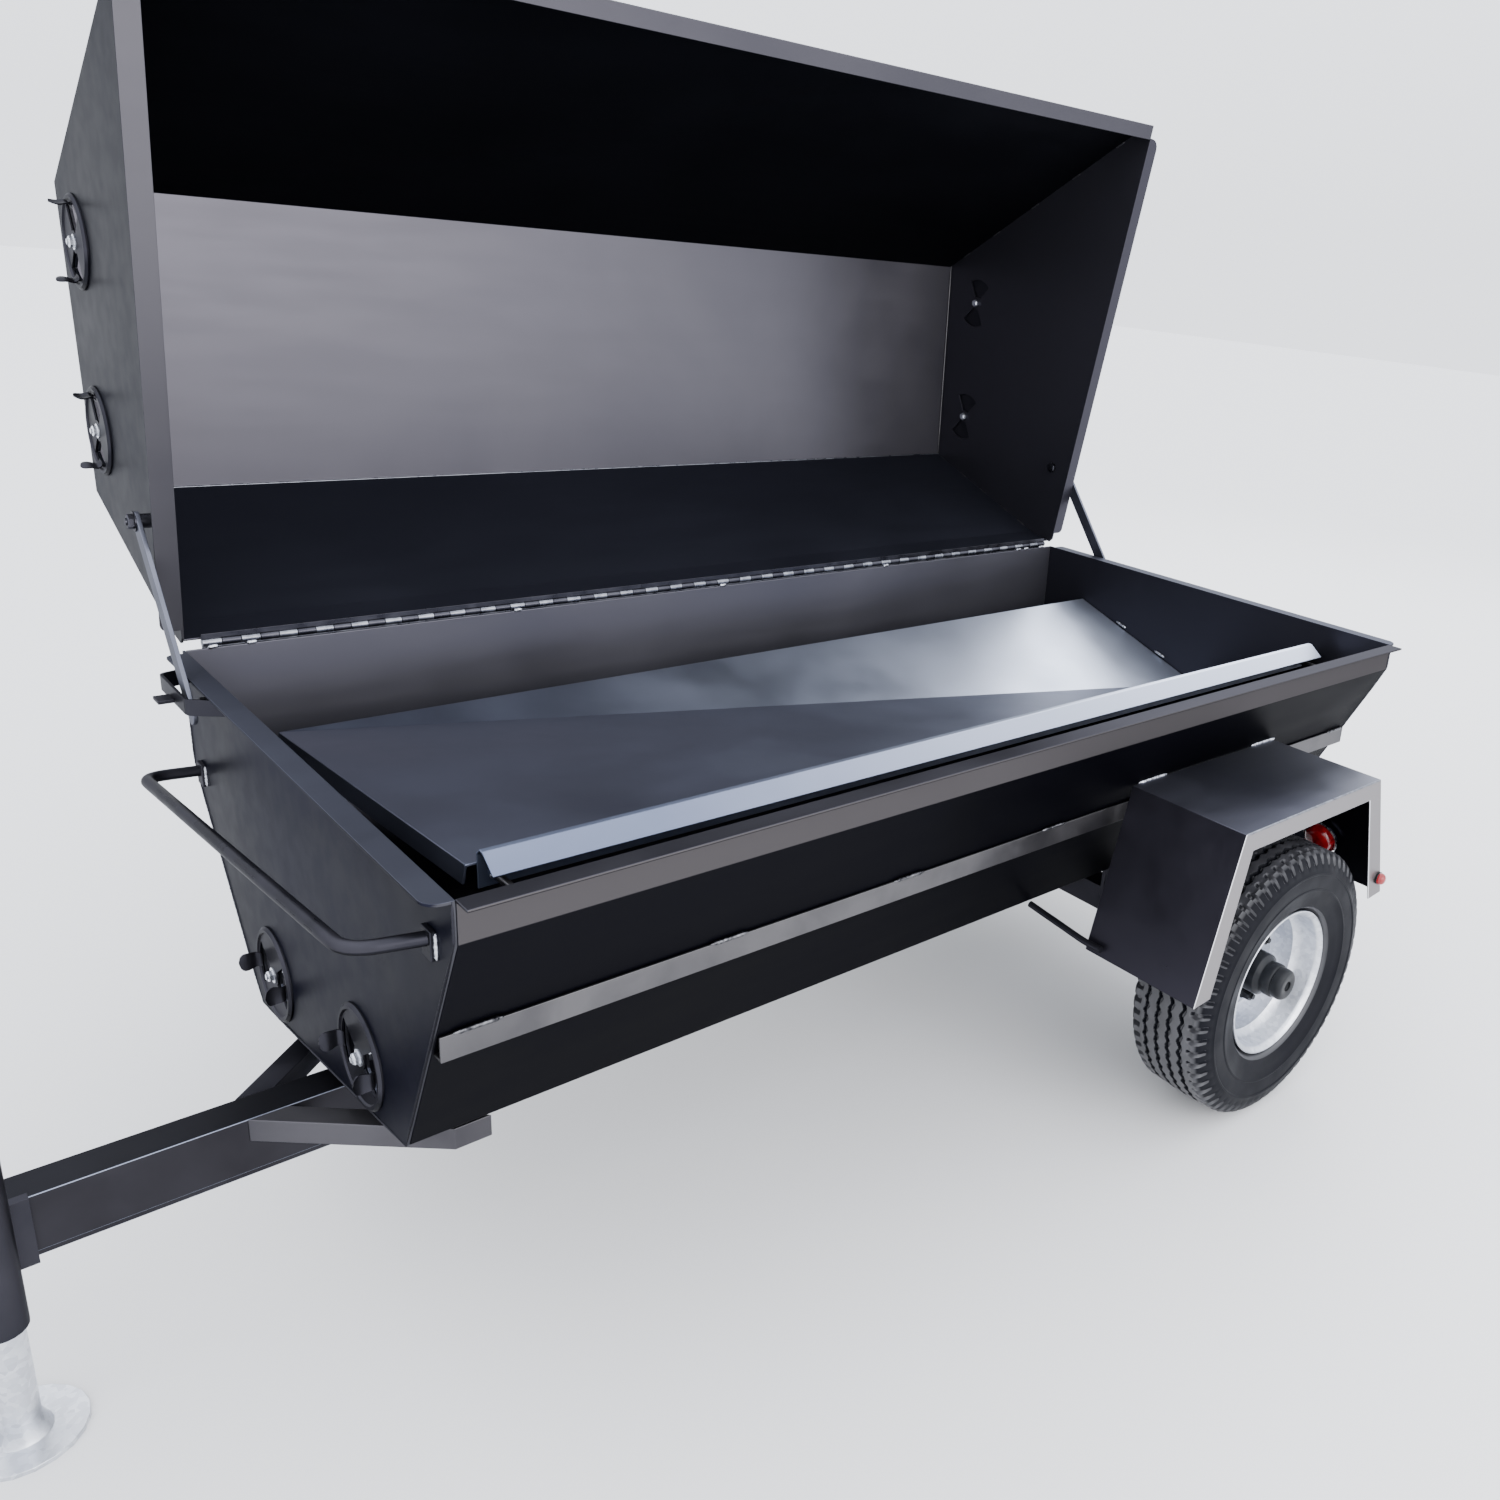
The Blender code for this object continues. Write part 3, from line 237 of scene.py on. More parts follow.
def galvanised():
    """Zinc spangle over the pressed rim."""
    shader = Shader("galvanised", (0.62, 0.64, 0.68), 0.36, 1.0)
    spangle = shader.nodes.new("ShaderNodeTexVoronoi")
    spangle.inputs["Scale"].default_value = 130.0
    shader.links.new(shader.place, spangle.inputs["Vector"])
    tone = shader.spread(spangle.outputs["Color"], 0.0, 1.0, 0.0, 1.0)
    shader.set("Base Color", shader.mix(tone, (0.52, 0.54, 0.59), (0.74, 0.76, 0.80)))
    shader.set("Roughness", shader.spread(shader.noise(14.0), 0.28, 0.46))
    shader.bump(shader.noise(300.0), 0.06, 0.0006)
    return shader.material


def tyre_rubber():
    """Black rubber, a little dusty on the tread, with painted shade darkening the sidewalls."""
    shader = Shader("tyre_rubber", (0.022, 0.023, 0.026), 0.62)
    dust = shader.spread(shader.noise(22.0, 6.0), 0.0, 1.0)
    tread = shader.mix(dust, (0.020, 0.020, 0.024), (0.042, 0.042, 0.048))
    wall = shader.math("MAXIMUM", shader.facing("Y", -0.45, -0.75), shader.facing("Y", 0.45, 0.75))
    # The near-black sidewall colour is painted shade.
    shader.set("Base Color", shader.mix(wall, tread, (0.0035, 0.0038, 0.006)))
    shader.set("Roughness", shader.spread(dust, 0.44, 0.56, 0.0, 1.0))
    shader.set("Specular IOR Level", shader.spread(wall, 0.85, 0.07, 0.0, 1.0))
    shader.bump(shader.noise(700.0, 3.0), 0.15, 0.0006)
    return shader.material


def red_glass():
    shader = Shader("red_lens", (0.30, 0.008, 0.010), 0.12)
    shader.surface.inputs["Coat Weight"].default_value = 0.3
    shader.surface.inputs["Subsurface Weight"].default_value = 0.15
    depth = shader.spread(shader.noise(90.0), 0.0, 1.0)
    shader.set("Base Color", shader.mix(depth, (0.16, 0.003, 0.006), (0.32, 0.008, 0.012)))
    shader.bump(shader.noise(500.0, 1.0), 0.05, 0.0004)
    return shader.material


def pan_metal():
    """Bare blue-grey sheet, lighter on its back facet and towards the right end as painted light."""
    shader = Shader("pan_steel", (0.12, 0.13, 0.17), 0.42, 1.0)
    # Painted light: the sheet brightens towards the right end, and the back facet is lighter than the front
    # one.
    rightward_painted_light = shader.along("X", ORIGIN.x + 0.3, ORIGIN.x + LENGTH - 0.25)
    clouds = shader.spread(shader.noise(3.0, 5.0, distortion=0.3), -0.06, 0.06)
    back_facet = shader.facing("Y", PAN_FRONT_TILT, PAN_BACK_TILT)
    back_facet_painted_light = shader.mix(shader.math("ADD", rightward_painted_light, clouds), (0.135, 0.148, 0.20), (0.52, 0.56, 0.66))
    slate = shader.mix(rightward_painted_light, (0.115, 0.124, 0.166), (0.20, 0.213, 0.268))
    shader.set("Base Color", shader.mix(back_facet, slate, back_facet_painted_light))
    shader.set("Roughness", shader.spread(shader.noise(5.0, 4.0), 0.38, 0.48))
    shader.bump(shader.noise(900.0, 2.0), 0.05, 0.0004)
    return shader.material


# Where a layer lies, ready for its colour. The layers paint light and shade: the far end, the back wall
# and front faces get painted light; undersides, backward and leftward faces get painted shade; upward faces
# get painted light on the tub's end plates and painted shade on the hood and the tongue.
FAR_END_LIT = ("along", "X", ORIGIN.x + LENGTH - 0.3, ORIGIN.x + LENGTH - 0.2)
BACK_WALL_LIT = ("along", "Y", ORIGIN.y + WIDTH * 0.6, ORIGIN.y + WIDTH * 0.9)
UNDERSIDE_SHADE = ("facing", "Z", -0.10, -0.30)
UPWARD_LIGHT_AND_SHADE = ("facing", "Z", 0.45, 0.75)
FRONT_LIT = ("facing", "Y", -0.75, -0.92)
BACKWARD_SHADE = ("facing", "Y", 0.05, 0.30)
LEFTWARD_SHADE = ("facing", "X", -0.4, -0.8)

# The hood, the tub and their end plates are one black paint: their base tones differ as painted light and
# shade, the hood lightest and the end plates darkest. On the hood, upward faces and undersides are darker as
# painted shade.
HOOD = sheet_metal(
    "hood_steel", (0.082, 0.079, 0.092), (0.102, 0.098, 0.112), 0.40, 0.85, cloud=2.5,
    layers=[(*UPWARD_LIGHT_AND_SHADE, (0.043, 0.045, 0.062)), (*UNDERSIDE_SHADE, (0.010, 0.0104, 0.014))],
)
# Front faces and the back wall are lighter as painted light; backward faces and the underside are darker as
# painted shade.
TUB = sheet_metal(
    "tub_steel", (0.042, 0.041, 0.049), (0.052, 0.051, 0.060), 0.40, 0.85, cloud=2.5,
    layers=[
        (*FRONT_LIT, (0.055, 0.051, 0.053)), (*BACK_WALL_LIT, (0.108, 0.106, 0.124)),
        (*BACKWARD_SHADE, (0.020, 0.020, 0.028)), (*UNDERSIDE_SHADE, (0.004, 0.004, 0.0075)),
    ],
)
# The far end plate, front faces and upward faces are lighter as painted light.
TUB_ENDS = sheet_metal(
    "tub_end_plates", (0.0090, 0.0094, 0.0175), (0.0130, 0.0136, 0.0270), 0.42, 0.8, cloud=2.0,
    layers=[
        (*FAR_END_LIT, (0.033, 0.0325, 0.042)), (*FRONT_LIT, (0.05, 0.05, 0.058)), (*UPWARD_LIGHT_AND_SHADE, (0.070, 0.074, 0.096)),
    ],
)
# Front faces and the far end plate are lighter as painted light.
HOOD_ENDS = sheet_metal(
    "hood_end_plates", (0.012, 0.0125, 0.018), (0.018, 0.019, 0.026), 0.42, 0.75, cloud=2.0,
    layers=[(*FRONT_LIT, (0.078, 0.075, 0.084)), (*FAR_END_LIT, (0.042, 0.0405, 0.051))],
)
# Undersides are darker as painted shade.
SATIN = sheet_metal(
    "satin_frame", (0.022, 0.022, 0.028), (0.036, 0.035, 0.043), 0.38, 0.8, cloud=9.0,
    layers=[(*UNDERSIDE_SHADE, (0.010, 0.010, 0.014))],
)
# Upward faces and undersides are darker as painted shade, with a painted highlight on the folds.
TONGUE = sheet_metal(
    "tongue_steel", (0.021, 0.020, 0.024), (0.030, 0.029, 0.034), 0.38, 0.8, cloud=9.0,
    layers=[(*UPWARD_LIGHT_AND_SHADE, (0.012, 0.012, 0.015)), (*UNDERSIDE_SHADE, (0.010, 0.010, 0.014))],
    bend=(0.20, 0.22, 0.28),
)
# The front brace is lighter than the back one (satin_frame) as painted light; its underside is darker as
# painted shade.
BRACE = sheet_metal(
    "brace_steel", (0.060, 0.058, 0.064), (0.085, 0.082, 0.090), 0.36, 0.9, cloud=9.0,
    layers=[(*UNDERSIDE_SHADE, (0.03, 0.03, 0.036))],
)
PROP = sheet_metal("prop_arm_steel", (0.10, 0.105, 0.13), (0.15, 0.155, 0.19), 0.34, 0.9, cloud=9.0)
# Lighter towards the right end and on front faces as painted light, darker on leftward faces and undersides
# as painted shade, with a bright painted highlight on the folds.
FENDER = sheet_metal(
    "fender_steel", (0.060, 0.062, 0.080), (0.090, 0.092, 0.115), 0.34, 0.85, cloud=5.0,
    layers=[
        ("along", "X", ORIGIN.x + 1.30, ORIGIN.x + 1.60, (0.20, 0.205, 0.235)),
        (*LEFTWARD_SHADE, (0.036, 0.034, 0.045)), (*FRONT_LIT, (0.26, 0.248, 0.252)),
        (*UNDERSIDE_SHADE, (0.008, 0.008, 0.013)),
    ],
    bend=(0.80, 0.80, 0.82),
)
PAN = pan_metal()
# Lighter towards the right end as painted light.
LIP = sheet_metal(
    "lip_steel", (0.12, 0.14, 0.21), (0.145, 0.17, 0.245), 0.36, 0.75, cloud=5.0, edge_tint=1.0,
    layers=[("along", "X", ORIGIN.x + 0.3, ORIGIN.x + LENGTH * 0.95, (0.60, 0.65, 0.78))],
)
RAIL = sheet_metal(
    "rail_steel", (0.076, 0.074, 0.078), (0.110, 0.107, 0.111), 0.36, 0.95, cloud=12.0, edge_tint=0.7,
)
BARE = sheet_metal("bare_steel", (0.16, 0.165, 0.19), (0.30, 0.31, 0.34), 0.30, 1.0, cloud=60.0)
DARK_STEEL = sheet_metal("dark_knuckle", (0.045, 0.045, 0.055), (0.075, 0.075, 0.088), 0.30, 0.95, cloud=30.0)
IRON = sheet_metal("hub_black", (0.008, 0.009, 0.011), (0.016, 0.017, 0.019), 0.34, 0.3, cloud=40.0)
CHROME = sheet_metal("chrome", (0.80, 0.81, 0.83), (0.86, 0.87, 0.89), 0.10, 1.0, grain=0.0, edge_tint=1.0)
WELD = weld_metal("weld_metal", (0.24, 0.24, 0.26), (0.70, 0.72, 0.77))
SCALED_WELD = weld_metal("scaled_weld", (0.015, 0.015, 0.018), (0.16, 0.16, 0.17))
ZINC = galvanised()
TYRE = tyre_rubber()
RED = red_glass()


# ---------------------------------------------------------------- making pieces


def link(obj):
    bpy.context.scene.collection.objects.link(obj)


def piece(name, mesh, material, body, *replaced, slot=None, angle=35):
    """Adds a smooth-shaded mesh that rides on a body and may stand for CAD nodes."""
    shape = bmesh.new()
    shape.from_mesh(mesh)
    for face in shape.faces:
        face.smooth = True
    for edge in shape.edges:
        if len(edge.link_faces) == 2 and edge.calc_face_angle(0) > radians(angle):
            edge.smooth = False
    shape.to_mesh(mesh)
    shape.free()
    obj = bpy.data.objects.new(name, mesh)
    obj.data.materials.append(material)
    link(obj)
    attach(obj, body)
    if replaced:
        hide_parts(*replaced)
    return obj


def mesh_from(build):
    shape = bmesh.new()
    build(shape)
    mesh = bpy.data.meshes.new("shape")
    shape.to_mesh(mesh)
    shape.free()
    return mesh


def bevelled(obj, width, segments=2, angle=35):
    modifier = obj.modifiers.new("bevel", "BEVEL")
    modifier.width = width
    modifier.segments = segments
    modifier.limit_method = "ANGLE"
    modifier.angle_limit = radians(angle)
    modifier.harden_normals = True


def standing(point, direction):
    """A matrix that puts local z along a direction, from a point."""
    return Matrix.Translation(point) @ direction.to_track_quat("Z", "Y").to_matrix().to_4x4()


def add_box(shape, low, high):
    low, high = Vector(low), Vector(high)
    for vertex in bmesh.ops.create_cube(shape, size=1)["verts"]:
        vertex.co = [low[i] + (high[i] - low[i]) * (vertex.co[i] + 0.5) for i in range(3)]


def add_rod(shape, start, end, radius, sides=20, end_radius=None):
    start, end = Vector(start), Vector(end)
    far = radius if end_radius is None else end_radius
    bmesh.ops.create_cone(
        shape, cap_ends=True, segments=sides, radius1=radius, radius2=far, depth=(end - start).length,
        matrix=standing((start + end) / 2, end - start),
    )


def add_rings(shape, profile, matrix, steps):
    """Turns (radius, height) points about local z. A radius of zero becomes one point."""
    rings = []
    for radius, height in profile:
        turns = [tau * k / steps for k in range(steps if radius > 0 else 1)]
        points = [matrix @ Vector((radius * cos(turn), radius * sin(turn), height)) for turn in turns]
        ring = [shape.verts.new(point) for point in points]
        rings.append(ring if radius > 0 else ring * steps)
    return rings


def add_lathe(shape, profile, matrix, steps=64, closed=True):
    """The surface between a profile's rings, joined from the last ring to the first when closed."""
    rings = add_rings(shape, profile, matrix, steps)
    following = rings[1:] + rings[:1] if closed else rings[1:]
    for near, far in zip(rings, following):
        for k in range(steps):
            n = (k + 1) % steps
            corners = distinct([near[k], near[n], far[n], far[k]])
            if len(corners) > 2:
                shape.faces.new(corners)
    bmesh.ops.recalc_face_normals(shape, faces=shape.faces)


def distinct(corners):
    return [vertex for i, vertex in enumerate(corners) if vertex not in corners[:i]]


def fillet(points, radius, steps=7):
    """The path with each inner corner rounded."""
    points = [Vector(p) for p in points]
    path = [points[0]]
    for before, corner, after in zip(points, points[1:], points[2:]):
        back, ahead = before - corner, after - corner
        reach = min(radius, back.length * 0.49, ahead.length * 0.49)
        start, end = corner + back.normalized() * reach, corner + ahead.normalized() * reach
        for k in range(steps + 1):
            t = k / steps
            path.append(start * (1 - t) ** 2 + corner * 2 * t * (1 - t) + end * t**2)
    path.append(points[-1])
    return path


def heading(path, k):
    """The direction of a path at its point k."""
    return (path[min(k + 1, len(path) - 1)] - path[max(k - 1, 0)]).normalized()


def skin(shape, rings):
    """Joins rings of vertices into a bar with flat ends."""
    count = len(rings[0])
    for near, far in zip(rings, rings[1:]):
        for n in range(count):
            shape.faces.new((near[n], near[(n + 1) % count], far[(n + 1) % count], far[n]))
    shape.faces.new(rings[0][::-1])
    shape.faces.new(rings[-1])


def add_tube(shape, path, radius, sides=14):
    """A round bar along a path. radius may be a function of the share along it."""
    path = [Vector(p) for p in path]
    side = heading(path, 0).orthogonal().normalized()
    rings = []
    for k, point in enumerate(path):
        along = heading(path, k)
        side = (side - along * side.dot(along)).normalized()
        up = along.cross(side)
        size = radius(k / (len(path) - 1)) if callable(radius) else radius
        turns = [tau * n / sides for n in range(sides)]
        rings.append([shape.verts.new(point + (side * cos(turn) + up * sin(turn)) * size) for turn in turns])
    skin(shape, rings)


def add_bead(shape, start, end, radius):
    """A weld bead: a rippled, uneven worm from start to end."""
    start, end = Vector(start), Vector(end)
    ripple_length, fewest = 0.0016, 6
    count = max(fewest, int((end - start).length / ripple_length))
    across = (end - start).orthogonal().normalized()
    path = [
        start.lerp(end, k / count) + across * random.uniform(-0.12, 0.12) * radius
        for k in range(count + 1)
    ]

    def size(share):
        taper = min(1.0, 5 * share + 0.35, 5 * (1 - share) + 0.35)
        ripple = 0.86 + 0.16 * abs(sin(share * count * 0.8))
        return radius * taper * ripple * random.uniform(0.93, 1.07)

    add_tube(shape, path, size, 8)


def weld_piece(name, body, runs, material=WELD):
    """One piece made of beads, each (start, end, radius)."""
    random.seed(name)

    def build(shape):
        for start, end, radius in runs:
            add_bead(shape, start, end, radius)

    piece(name, mesh_from(build), material, body, slot="zinc", angle=80)


def add_strip(shape, path, thickness, low, high):
    """A flat bar on edge: a path in the xy plane with a thickness, from z low to high."""
    path = [Vector((x, y)) for x, y in path]
    rings = []
    for k, point in enumerate(path):
        along = heading(path, k)
        across = Vector((-along.y, along.x)) * thickness / 2
        left, right = point + across, point - across
        corners = ((left, low), (left, high), (right, high), (right, low))
        rings.append([shape.verts.new((*corner, z)) for corner, z in corners])
    skin(shape, rings)
    bmesh.ops.recalc_face_normals(shape, faces=shape.faces)


def add_hex(shape, centre, axis, radius, height):
    """A hexagonal head with a small chamfer, standing on centre along axis."""
    centre, axis = Vector(centre), Vector(axis).normalized()
    shoulder = centre + axis * height * 0.8
    add_rod(shape, centre, shoulder, radius, 6)
    add_rod(shape, shoulder, centre + axis * height, radius, 6, radius * 0.86)


def add_bolt(shape, centre, axis, radius, height=None):
    """A washer, a hexagonal head and a stub of thread."""
    centre, axis = Vector(centre), Vector(axis).normalized()
    height = height or radius * 0.75
    washer, stub = 0.0015, 0.0035
    add_rod(shape, centre, centre + axis * washer, radius * 1.35, 24)
    add_hex(shape, centre + axis * washer, axis, radius, height)
    add_rod(shape, centre + axis * washer, centre + axis * (height + stub), radius * 0.5, 14)


# ---------------------------------------------------------------- CAD nodes that stay


def keep(material, names, width=0.0008, segments=2, angle=35, planar=True):
    """Gives CAD nodes their material, and bevels that catch the light on their edges.

    planar joins the triangles of each flat face. Plates with holes in them keep theirs. A bevel is at
    most half the sheet's thickness.
    """
    for name in names:
        obj = frame["nodes"][name]
        obj.data.materials.clear()
        obj.data.materials.append(material)
        if "custom_normal" in obj.data.attributes:
            obj.data.attributes.remove(obj.data.attributes["custom_normal"])
        for polygon in obj.data.polygons:
            polygon.use_smooth = True
        weld = obj.modifiers.new("weld", "WELD")
        weld.merge_threshold = 0.00002
        if planar:
            dissolve = obj.modifiers.new("planar", "DECIMATE")
            dissolve.decimate_type = "DISSOLVE"
            dissolve.angle_limit = radians(0.4)
        bevelled(obj, width, segments, angle)
        flat = obj.modifiers.new("flat", "WEIGHTED_NORMAL")
        flat.weight = 100


def keep_nodes():
    """The shells and the pan have shallow folds, so their bevels start at a smaller angle."""
    keep(TUB, ["tub_shell"], 0.0012, angle=6)
    keep(HOOD, ["hood_shell"], 0.0012, angle=6)
    keep(PAN, ["deflector_pan"], 0.0012, angle=10)
    keep(TUB_ENDS, ["tub_end_left", "tub_end_right", "fire_door"], planar=False)
    keep(HOOD_ENDS, ["hood_end_left", "hood_end_right"], planar=False)
    keep(FENDER, ["fender_front", "fender_back"], 0.0014, 3)
    keep(TONGUE, ["tongue_tube", "tongue_lower_bar"], 0.0014, 3)
    keep(BRACE, ["frame_brace_front"], 0.0014, 3)
    keep(SATIN, ["frame_brace_back"], 0.0014, 3)
    keep(SATIN, ["axle_beam", "coupler", "jack_tube", "drain_lever"], 0.001)
    keep(SATIN, ["charcoal_grate"], 0.0006)
    keep(SATIN, ["release_tab_left", "release_tab_right"])
    keep(LIP, ["deflector_rail"], 0.0015, 3)
    keep(RAIL, ["side_rail_front", "side_rail_back"])
    keep(ZINC, ["jack_leg", "jack_crank", "drain_pipe", "coupler_latch"])
    keep(PROP, ["prop_arm_left", "prop_arm_right"])


# ---------------------------------------------------------------- pieces


def make_hinge():
    """One-inch knuckles, turn about on two leaves, and small welds along the lower leaf."""
    low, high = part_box("hinge_leaf_tub")
    count = int((high.x - low.x) / KNUCKLE)
    start = (low.x + high.x - count * KNUCKLE) / 2
    front, back = HINGE.y - LEAF / 2, HINGE.y + LEAF / 2
    overlap, clearance = 0.002, 0.0004

    def leaf(first, up, height):
        def build(shape):
            z0, z1 = sorted((HINGE.z + up * (HINGE_RADIUS - overlap), HINGE.z + up * height))
            add_box(shape, (start, front, z0), (start + count * KNUCKLE, back, z1))
            for k in range(first, count, 2):
                x0, x1 = start + k * KNUCKLE + clearance, start + (k + 1) * KNUCKLE - clearance
                add_rod(shape, (x0, HINGE.y, HINGE.z), (x1, HINGE.y, HINGE.z), HINGE_RADIUS, 20)

        return mesh_from(build)

    lower = piece("hinge_tub", leaf(0, -1, 0.030), BARE, "frame", "hinge_leaf_tub", "hinge_pin",
                  slot="mill_steel")
    upper = piece("hinge_hood", leaf(1, 1, 0.013), DARK_STEEL, "hood", "hinge_leaf_hood", slot="mill_steel")
    for obj in (lower, upper):
        bevelled(obj, 0.0004)
    runs = []
    for k in [0, 2, *range(18, count, 16), count - 3, count - 1]:
        middle = Vector((start + (k + 0.5) * KNUCKLE, HINGE.y - 0.0035, HINGE.z - HINGE_RADIUS - 0.0005))
        runs.append((middle - Vector((0.007, 0, 0)), middle + Vector((0.008, 0, 0.0012)), 0.0036))
    weld_piece("hinge_welds", "frame", runs)


def add_dial(shape, place, side):
    """A pressed disc with two openings, in a plane across x, with a raised ring near its edge."""
    radii = [0.0, 0.009, 0.016, 0.026, 0.036, 0.046, 0.055, 0.0580, 0.0600, 0.0640, 0.0660, DIAL_RADIUS]
    lift = [0.0, 0.0, 0.0, 0.0, 0.0, 0.0, 0.0, 0.0, 0.0022, 0.0022, 0.0004, -0.0012]
    open_rings = range(2, 6)
    half_angle = radians(36)
    steps = 80
    last = len(radii) - 1
    sheet, gap = 0.0022, 0.0015
    z_to_x = Matrix(((0, 0, 1, 0), (1, 0, 0, 0), (0, 1, 0, 0), (0, 0, 0, 1)))
    top, bottom = (
        add_rings(
            shape, [(radius, side * (gap + height + sheet - depth)) for radius, height in zip(radii, lift)],
            place @ z_to_x, steps,
        )
        for depth in (0.0, sheet)
    )

    def is_open(a, k):
        angle = tau * (k + 0.5) / steps
        across = min(angle % pi, pi - angle % pi)
        return a in open_rings and across < half_angle

    def rim(a, k, n):
        return top[a][k], top[a][n], bottom[a][n], bottom[a][k]

    for a in range(last):
        for k in range(steps):
            n = (k + 1) % steps
            if is_open(a, k):
                continue
            for rings, flip in ((top, side < 0), (bottom, side > 0)):
                corners = distinct([rings[a][k], rings[a + 1][k], rings[a + 1][n], rings[a][n]])
                shape.faces.new(corners[::-1] if flip else corners)
            if a == last - 1 or is_open(a + 1, k):
                shape.faces.new(rim(a + 1, k, n))
            if is_open(a - 1, k):
                shape.faces.new(rim(a, n, k))
            if is_open(a, n):
                shape.faces.new((top[a][n], top[a + 1][n], bottom[a + 1][n], bottom[a][n]))
            if is_open(a, (k - 1) % steps):
                shape.faces.new((top[a + 1][k], top[a][k], bottom[a][k], bottom[a + 1][k]))


def add_tongue(shape, place, side, sign):
    """The spoon-shaped tab bent out at the outer end of one opening."""
    bend, length = 0.007, 0.027
    root, foot = 0.0500, 0.0037
    thick, cup = 0.0022, 0.0012
    bend_share, widest_share, tip_share = 0.3, 0.6, 0.72
    root_half, spoon_half, tip_half = 0.0095, 0.0035, 0.0012
    steps = 16
    rows = []
    for k in range(steps + 1):
        t = k / steps
        if t < bend_share:
            turn = t / bend_share * pi / 2
            radial, out = root + bend * sin(turn), foot + bend * (1 - cos(turn))
        else:
            along = (t - bend_share) / (1 - bend_share)
            radial, out = root + bend - 0.002 * sin(along * pi), foot + bend + along * (length - bend)
        tip = max(0.0, (t - tip_share) / (1 - tip_share))
        half = (root_half + spoon_half * min(1, t / widest_share)) * max(0.0, 1 - tip**2) ** 0.5
        half = max(half, tip_half)
        rows.append([(side * out, sign * radial, w * half, abs(w)) for w in (-1, -0.5, 0, 0.5, 1)])

    def face(depth):
        return [
            [
                shape.verts.new(place @ Vector((x, y - sign * (depth + cup * (1 - edge**2)), z)))
                for x, y, z, edge in row
            ]
            for row in rows
        ]

    top, bottom = face(0.0), face(thick)
    for a in range(steps):
        for b in range(4):
            shape.faces.new((top[a][b], top[a + 1][b], top[a + 1][b + 1], top[a][b + 1]))
            shape.faces.new((bottom[a][b + 1], bottom[a + 1][b + 1], bottom[a + 1][b], bottom[a][b]))
        shape.faces.new((top[a + 1][0], top[a][0], bottom[a][0], bottom[a + 1][0]))
        shape.faces.new((top[a][4], top[a + 1][4], bottom[a + 1][4], bottom[a][4]))
    for b in range(4):
        shape.faces.new((top[0][b], top[0][b + 1], bottom[0][b + 1], bottom[0][b]))
        shape.faces.new((top[steps][b + 1], top[steps][b], bottom[steps][b], bottom[steps][b + 1]))


def make_dials():
    """Six butterfly air dials with plated centre bolts. Those on the right are a quarter turn on."""
    for joint, centre in JOINTS.items():
        if "dial" not in joint:
            continue
        body = joint.replace("_turn", "")
        node = body.replace("_dial", "_vent_dial")
        side = -1 if "left" in joint else 1
        opened = HOOD_OPEN if joint.startswith("hood") else 0
        quarter = pi / 2 if "right" in joint else 0
        place = Matrix.Translation(centre) @ Matrix.Rotation(quarter - opened, 4, "X")

        def build(shape):
            add_dial(shape, place, side)
            for sign in (-1, 1):
                add_tongue(shape, place, side, sign)
            bmesh.ops.recalc_face_normals(shape, faces=shape.faces)

        def build_bolt(shape):
            out = place.to_3x3() @ Vector((side, 0, 0))
            add_bolt(shape, centre + out * 0.0037, out, 0.0082)
            add_rod(shape, centre - out * 0.0125, centre + out * 0.004, 0.0048, 14)
            add_hex(shape, centre - out * (SHEET + 0.001), -out, 0.0085, 0.007)

        piece(f"{node}_disc", mesh_from(build), SATIN, body, node, slot="black_steel", angle=30)
        piece(f"{node}_bolt", mesh_from(build_bolt), ZINC, body, slot="zinc")


def make_end_handles():
    """Bent round bars with stand-off plates and their welds."""
    near, far = (0.055, -0.064), (0.868, -0.168)
    near_elbow, far_elbow = (0.086, -0.064), (0.866, -0.163)
    reach, foot = 0.076, 0.004
    plate_half = 0.012
    for end, x, side in ENDS:
        elbow = at(x + side * reach, near[0] + 0.010, near[1])
        path = fillet([
            at(x + side * foot, *near),
            elbow.lerp(at(x + side * reach, *near_elbow), 0.4),
            at(x + side * reach, *far_elbow),
            at(x + side * foot, *far),
        ], 0.032, 9)

        def build_plates(shape):
            for y, z in (near, far):
                x0, x1 = sorted((x + side * 0.0004, x + side * 0.0065))
                add_box(shape, at(x0, y - plate_half, z - 0.022), at(x1, y + plate_half, z + 0.012))

        bar = mesh_from(lambda shape: add_tube(shape, path, 0.0080, 18))
        piece(f"end_handle_bar_{end}", bar, SATIN, "frame", f"end_handle_{end}", slot="black_steel")
        plates = piece(f"end_handle_plates_{end}", mesh_from(build_plates), SATIN, "frame",
                       slot="black_steel")
        bevelled(plates, 0.0012)
        edge = x + side * 0.001
        runs = [
            (at(edge, y + across, z - 0.021), at(edge, y + across, z + 0.010), 0.0028)
            for y, z in (near, far) for across in (-0.013, 0.013)
        ]
        weld_piece(f"end_handle_welds_{end}", "frame", runs)


